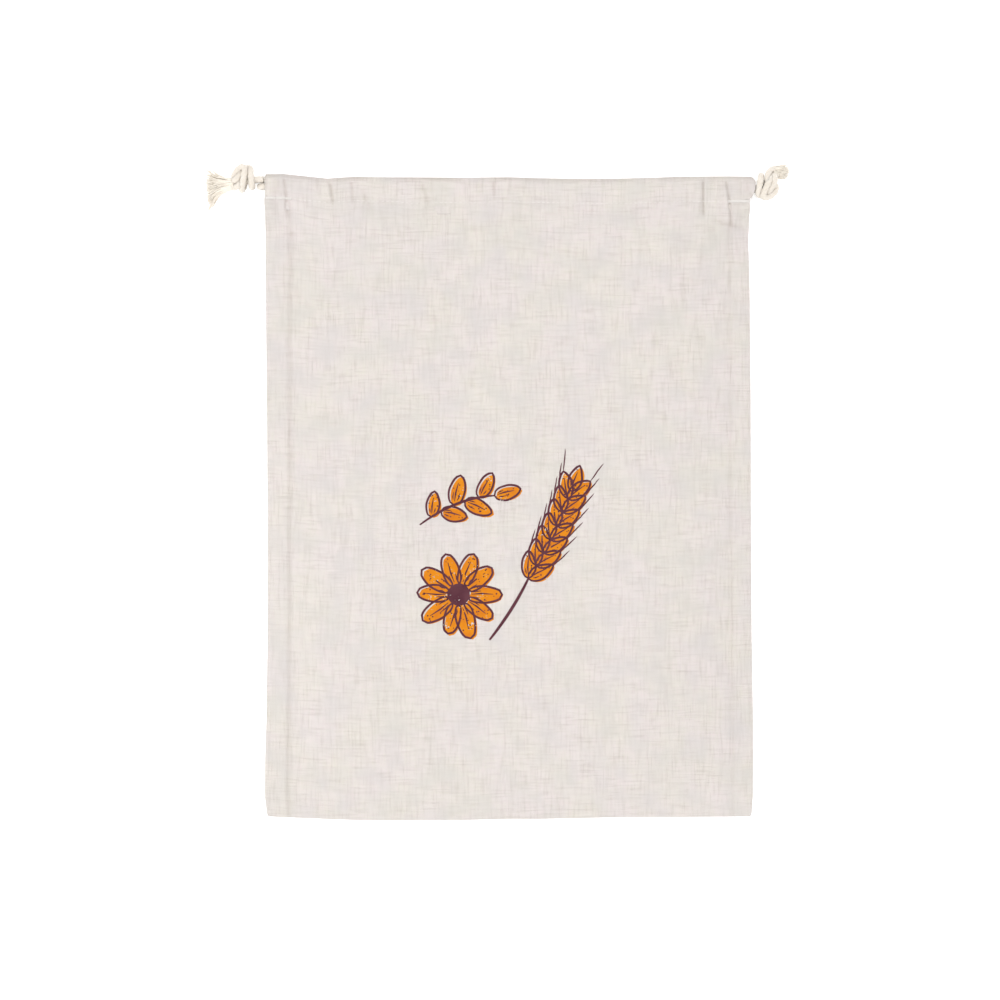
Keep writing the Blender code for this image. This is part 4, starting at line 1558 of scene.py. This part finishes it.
stem = np.array([EAR_ROOT - [18 * t + 6 * t * t, 38 * t] for t in np.linspace(0, 1, 16)])
outlines.append(ribbon(stem, 2.0, taper=0.6))
for k, along in enumerate(np.linspace(0, LAST_PAIR, GRAIN_PAIRS)):
    place, lean = ear_point(along)
    for side in (-1, 1):
        leaf(*GRAIN, lean + side * GRAIN_SPREAD, place, 1.0, 100 + 4 * k + side, GRAIN_DOTS)
        tip = turned_to(np.array([GRAIN[0], 0]), lean + side * GRAIN_SPREAD, place)
        awn = np.linspace([0, 0], [AWN_LENGTH, 0], 8)
        awn = wobble(turned_to(awn, lean + side * AWN_SPREAD, tip), 0.1, 300 + 2 * k + side)
        outlines.append(ribbon(awn, 0.8, taper=0.25))
place, lean = ear_point(TOP_GRAIN)
leaf(*GRAIN, lean, place, 0.95, 170, GRAIN_DOTS)
report_print("wheat ear")

# %% Daisy
DAISY = np.array([-31.0, -60.0])
# Length, width and tip of a petal
PETAL = (21.0, 10.5, 0.8)
PETALS = 10
PETAL_START = 5.5
PETAL_DOTS = 7
HEART_RADIUS = 7.0
for k in range(PETALS):
    angle = 360 / PETALS * k + 3 * math.sin(2.1 * k)
    place = turned_to(np.array([PETAL_START, 0]), angle, DAISY)
    leaf(*PETAL, angle, place, 1 + 0.06 * math.sin(3.3 * k), 400 + 3 * k, PETAL_DOTS)
outlines.append(patch(DAISY + HEART_RADIUS * wobble(disc(24), 0.03, 500), HEART_OVER))
report_print("daisy")

# %% Sprig
SPRIG_ROOT = np.array([-55.0, -17.0])
# Length, width and tip of a leaf
SPRIG_LEAF = (18.5, 9.6, 1.1)
SPRIG_DOTS = 6
# Share of the way along the twig, direction, size
SPRIG_LEAVES = (
    (0.16, 84, 0.85), (0.28, -12, 0.9), (0.46, 78, 1.0),
    (0.60, -24, 1.0), (0.80, 62, 0.9), (1.0, 14, 0.9),
)
t = np.linspace(0, 1, 18)[:, None]
twig = SPRIG_ROOT + np.concatenate([46 * t, 34 * t - 16 * t * t], -1)
outlines.append(ribbon(twig, 1.7, taper=0.5))
for k, (share, turn, size) in enumerate(SPRIG_LEAVES):
    place = np.array([np.interp(share, t[:, 0], twig[:, j]) for j in (0, 1)])
    leaf(*SPRIG_LEAF, turn, place, size, 600 + 3 * k, SPRIG_DOTS)
report_print("sprig")

ink_fill = soft_piece("orange_ink", fills, "linen_cloth")
ink_line = soft_piece("dark_ink", outlines, "linen_cloth")

# %% [markdown]
# ## Ink
#
# Ink sits on the yarns and is thin in between, and it misses a spot here and there. So its colour
# varies softly between two shades, a mask made of broad and fine noise takes the missed spots out,
# and the weave's own height tilts the light on it. A plain painted patch would look like a sticker.

# %% Ink material
ORANGE, ORANGE_SHADE, ORANGE_WORN = (0.61, 0.215, 0.008, 1), (0.52, 0.155, 0.010, 1), 0.36
DARK, DARK_SHADE, DARK_WORN = (0.075, 0.022, 0.032, 1), (0.10, 0.035, 0.045, 1), 0.33
WHITE_THREAD, WHITE_THREAD_SHADE = (0.68, 0.655, 0.63, 1), (0.64, 0.61, 0.58, 1)
WORN_EDGE = 0.04


def ink_material(name, light, shade, worn):
    """Thin ink in two shades, with the weave as a bump and a few worn spots with no ink."""
    material, nodes, shader = new_material(name)
    place = cloth_place(nodes)
    weave = nodes.add("ShaderNodeGroup", node_tree=WEAVE)
    nodes.put(weave.inputs["Cloth"], place)
    spots = nodes.noise(nodes.scaled(place, 900, 900, 0), 1.0, 2.0)
    patchy = nodes.noise(nodes.scaled(place, 120, 120, 0), 1.0, 3.0)
    nodes.put(shader.inputs["Base Color"], nodes.mix(nodes.ramp(patchy, 0.35, 0.65), light, shade))
    whole = nodes.math("MULTIPLY_ADD", patchy, 0.5, nodes.math("MULTIPLY", spots, 0.5))
    nodes.put(shader.inputs["Alpha"], nodes.ramp(whole, worn, worn + WORN_EDGE))
    set_finish(shader, {"Roughness": 0.8, "Specular IOR Level": 0.1})
    bump(nodes, shader, weave.outputs["Height"], 0.4, 0.0002)
    return material


for item, material in (
    (ink_fill, ink_material("orange_ink", ORANGE, ORANGE_SHADE, ORANGE_WORN)),
    (ink_line, ink_material("dark_ink", DARK, DARK_SHADE, DARK_WORN)),
    (seam_thread, cotton_material("seam_thread", WHITE_THREAD, WHITE_THREAD_SHADE)),
):
    item.data.materials.append(material)
    print(f"{item.name}: {len(material.node_tree.nodes)} material nodes")

# %% Finish
new_low, new_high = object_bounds()
sizes = {
    "cad": [list(cad_low), list(cad_high)],
    "visual": [list(new_low), list(new_high)],
}
for title, (low, high) in sizes.items():
    print(title, [round((b - a) * 1000, 1) for a, b in zip(low, high)], "mm")
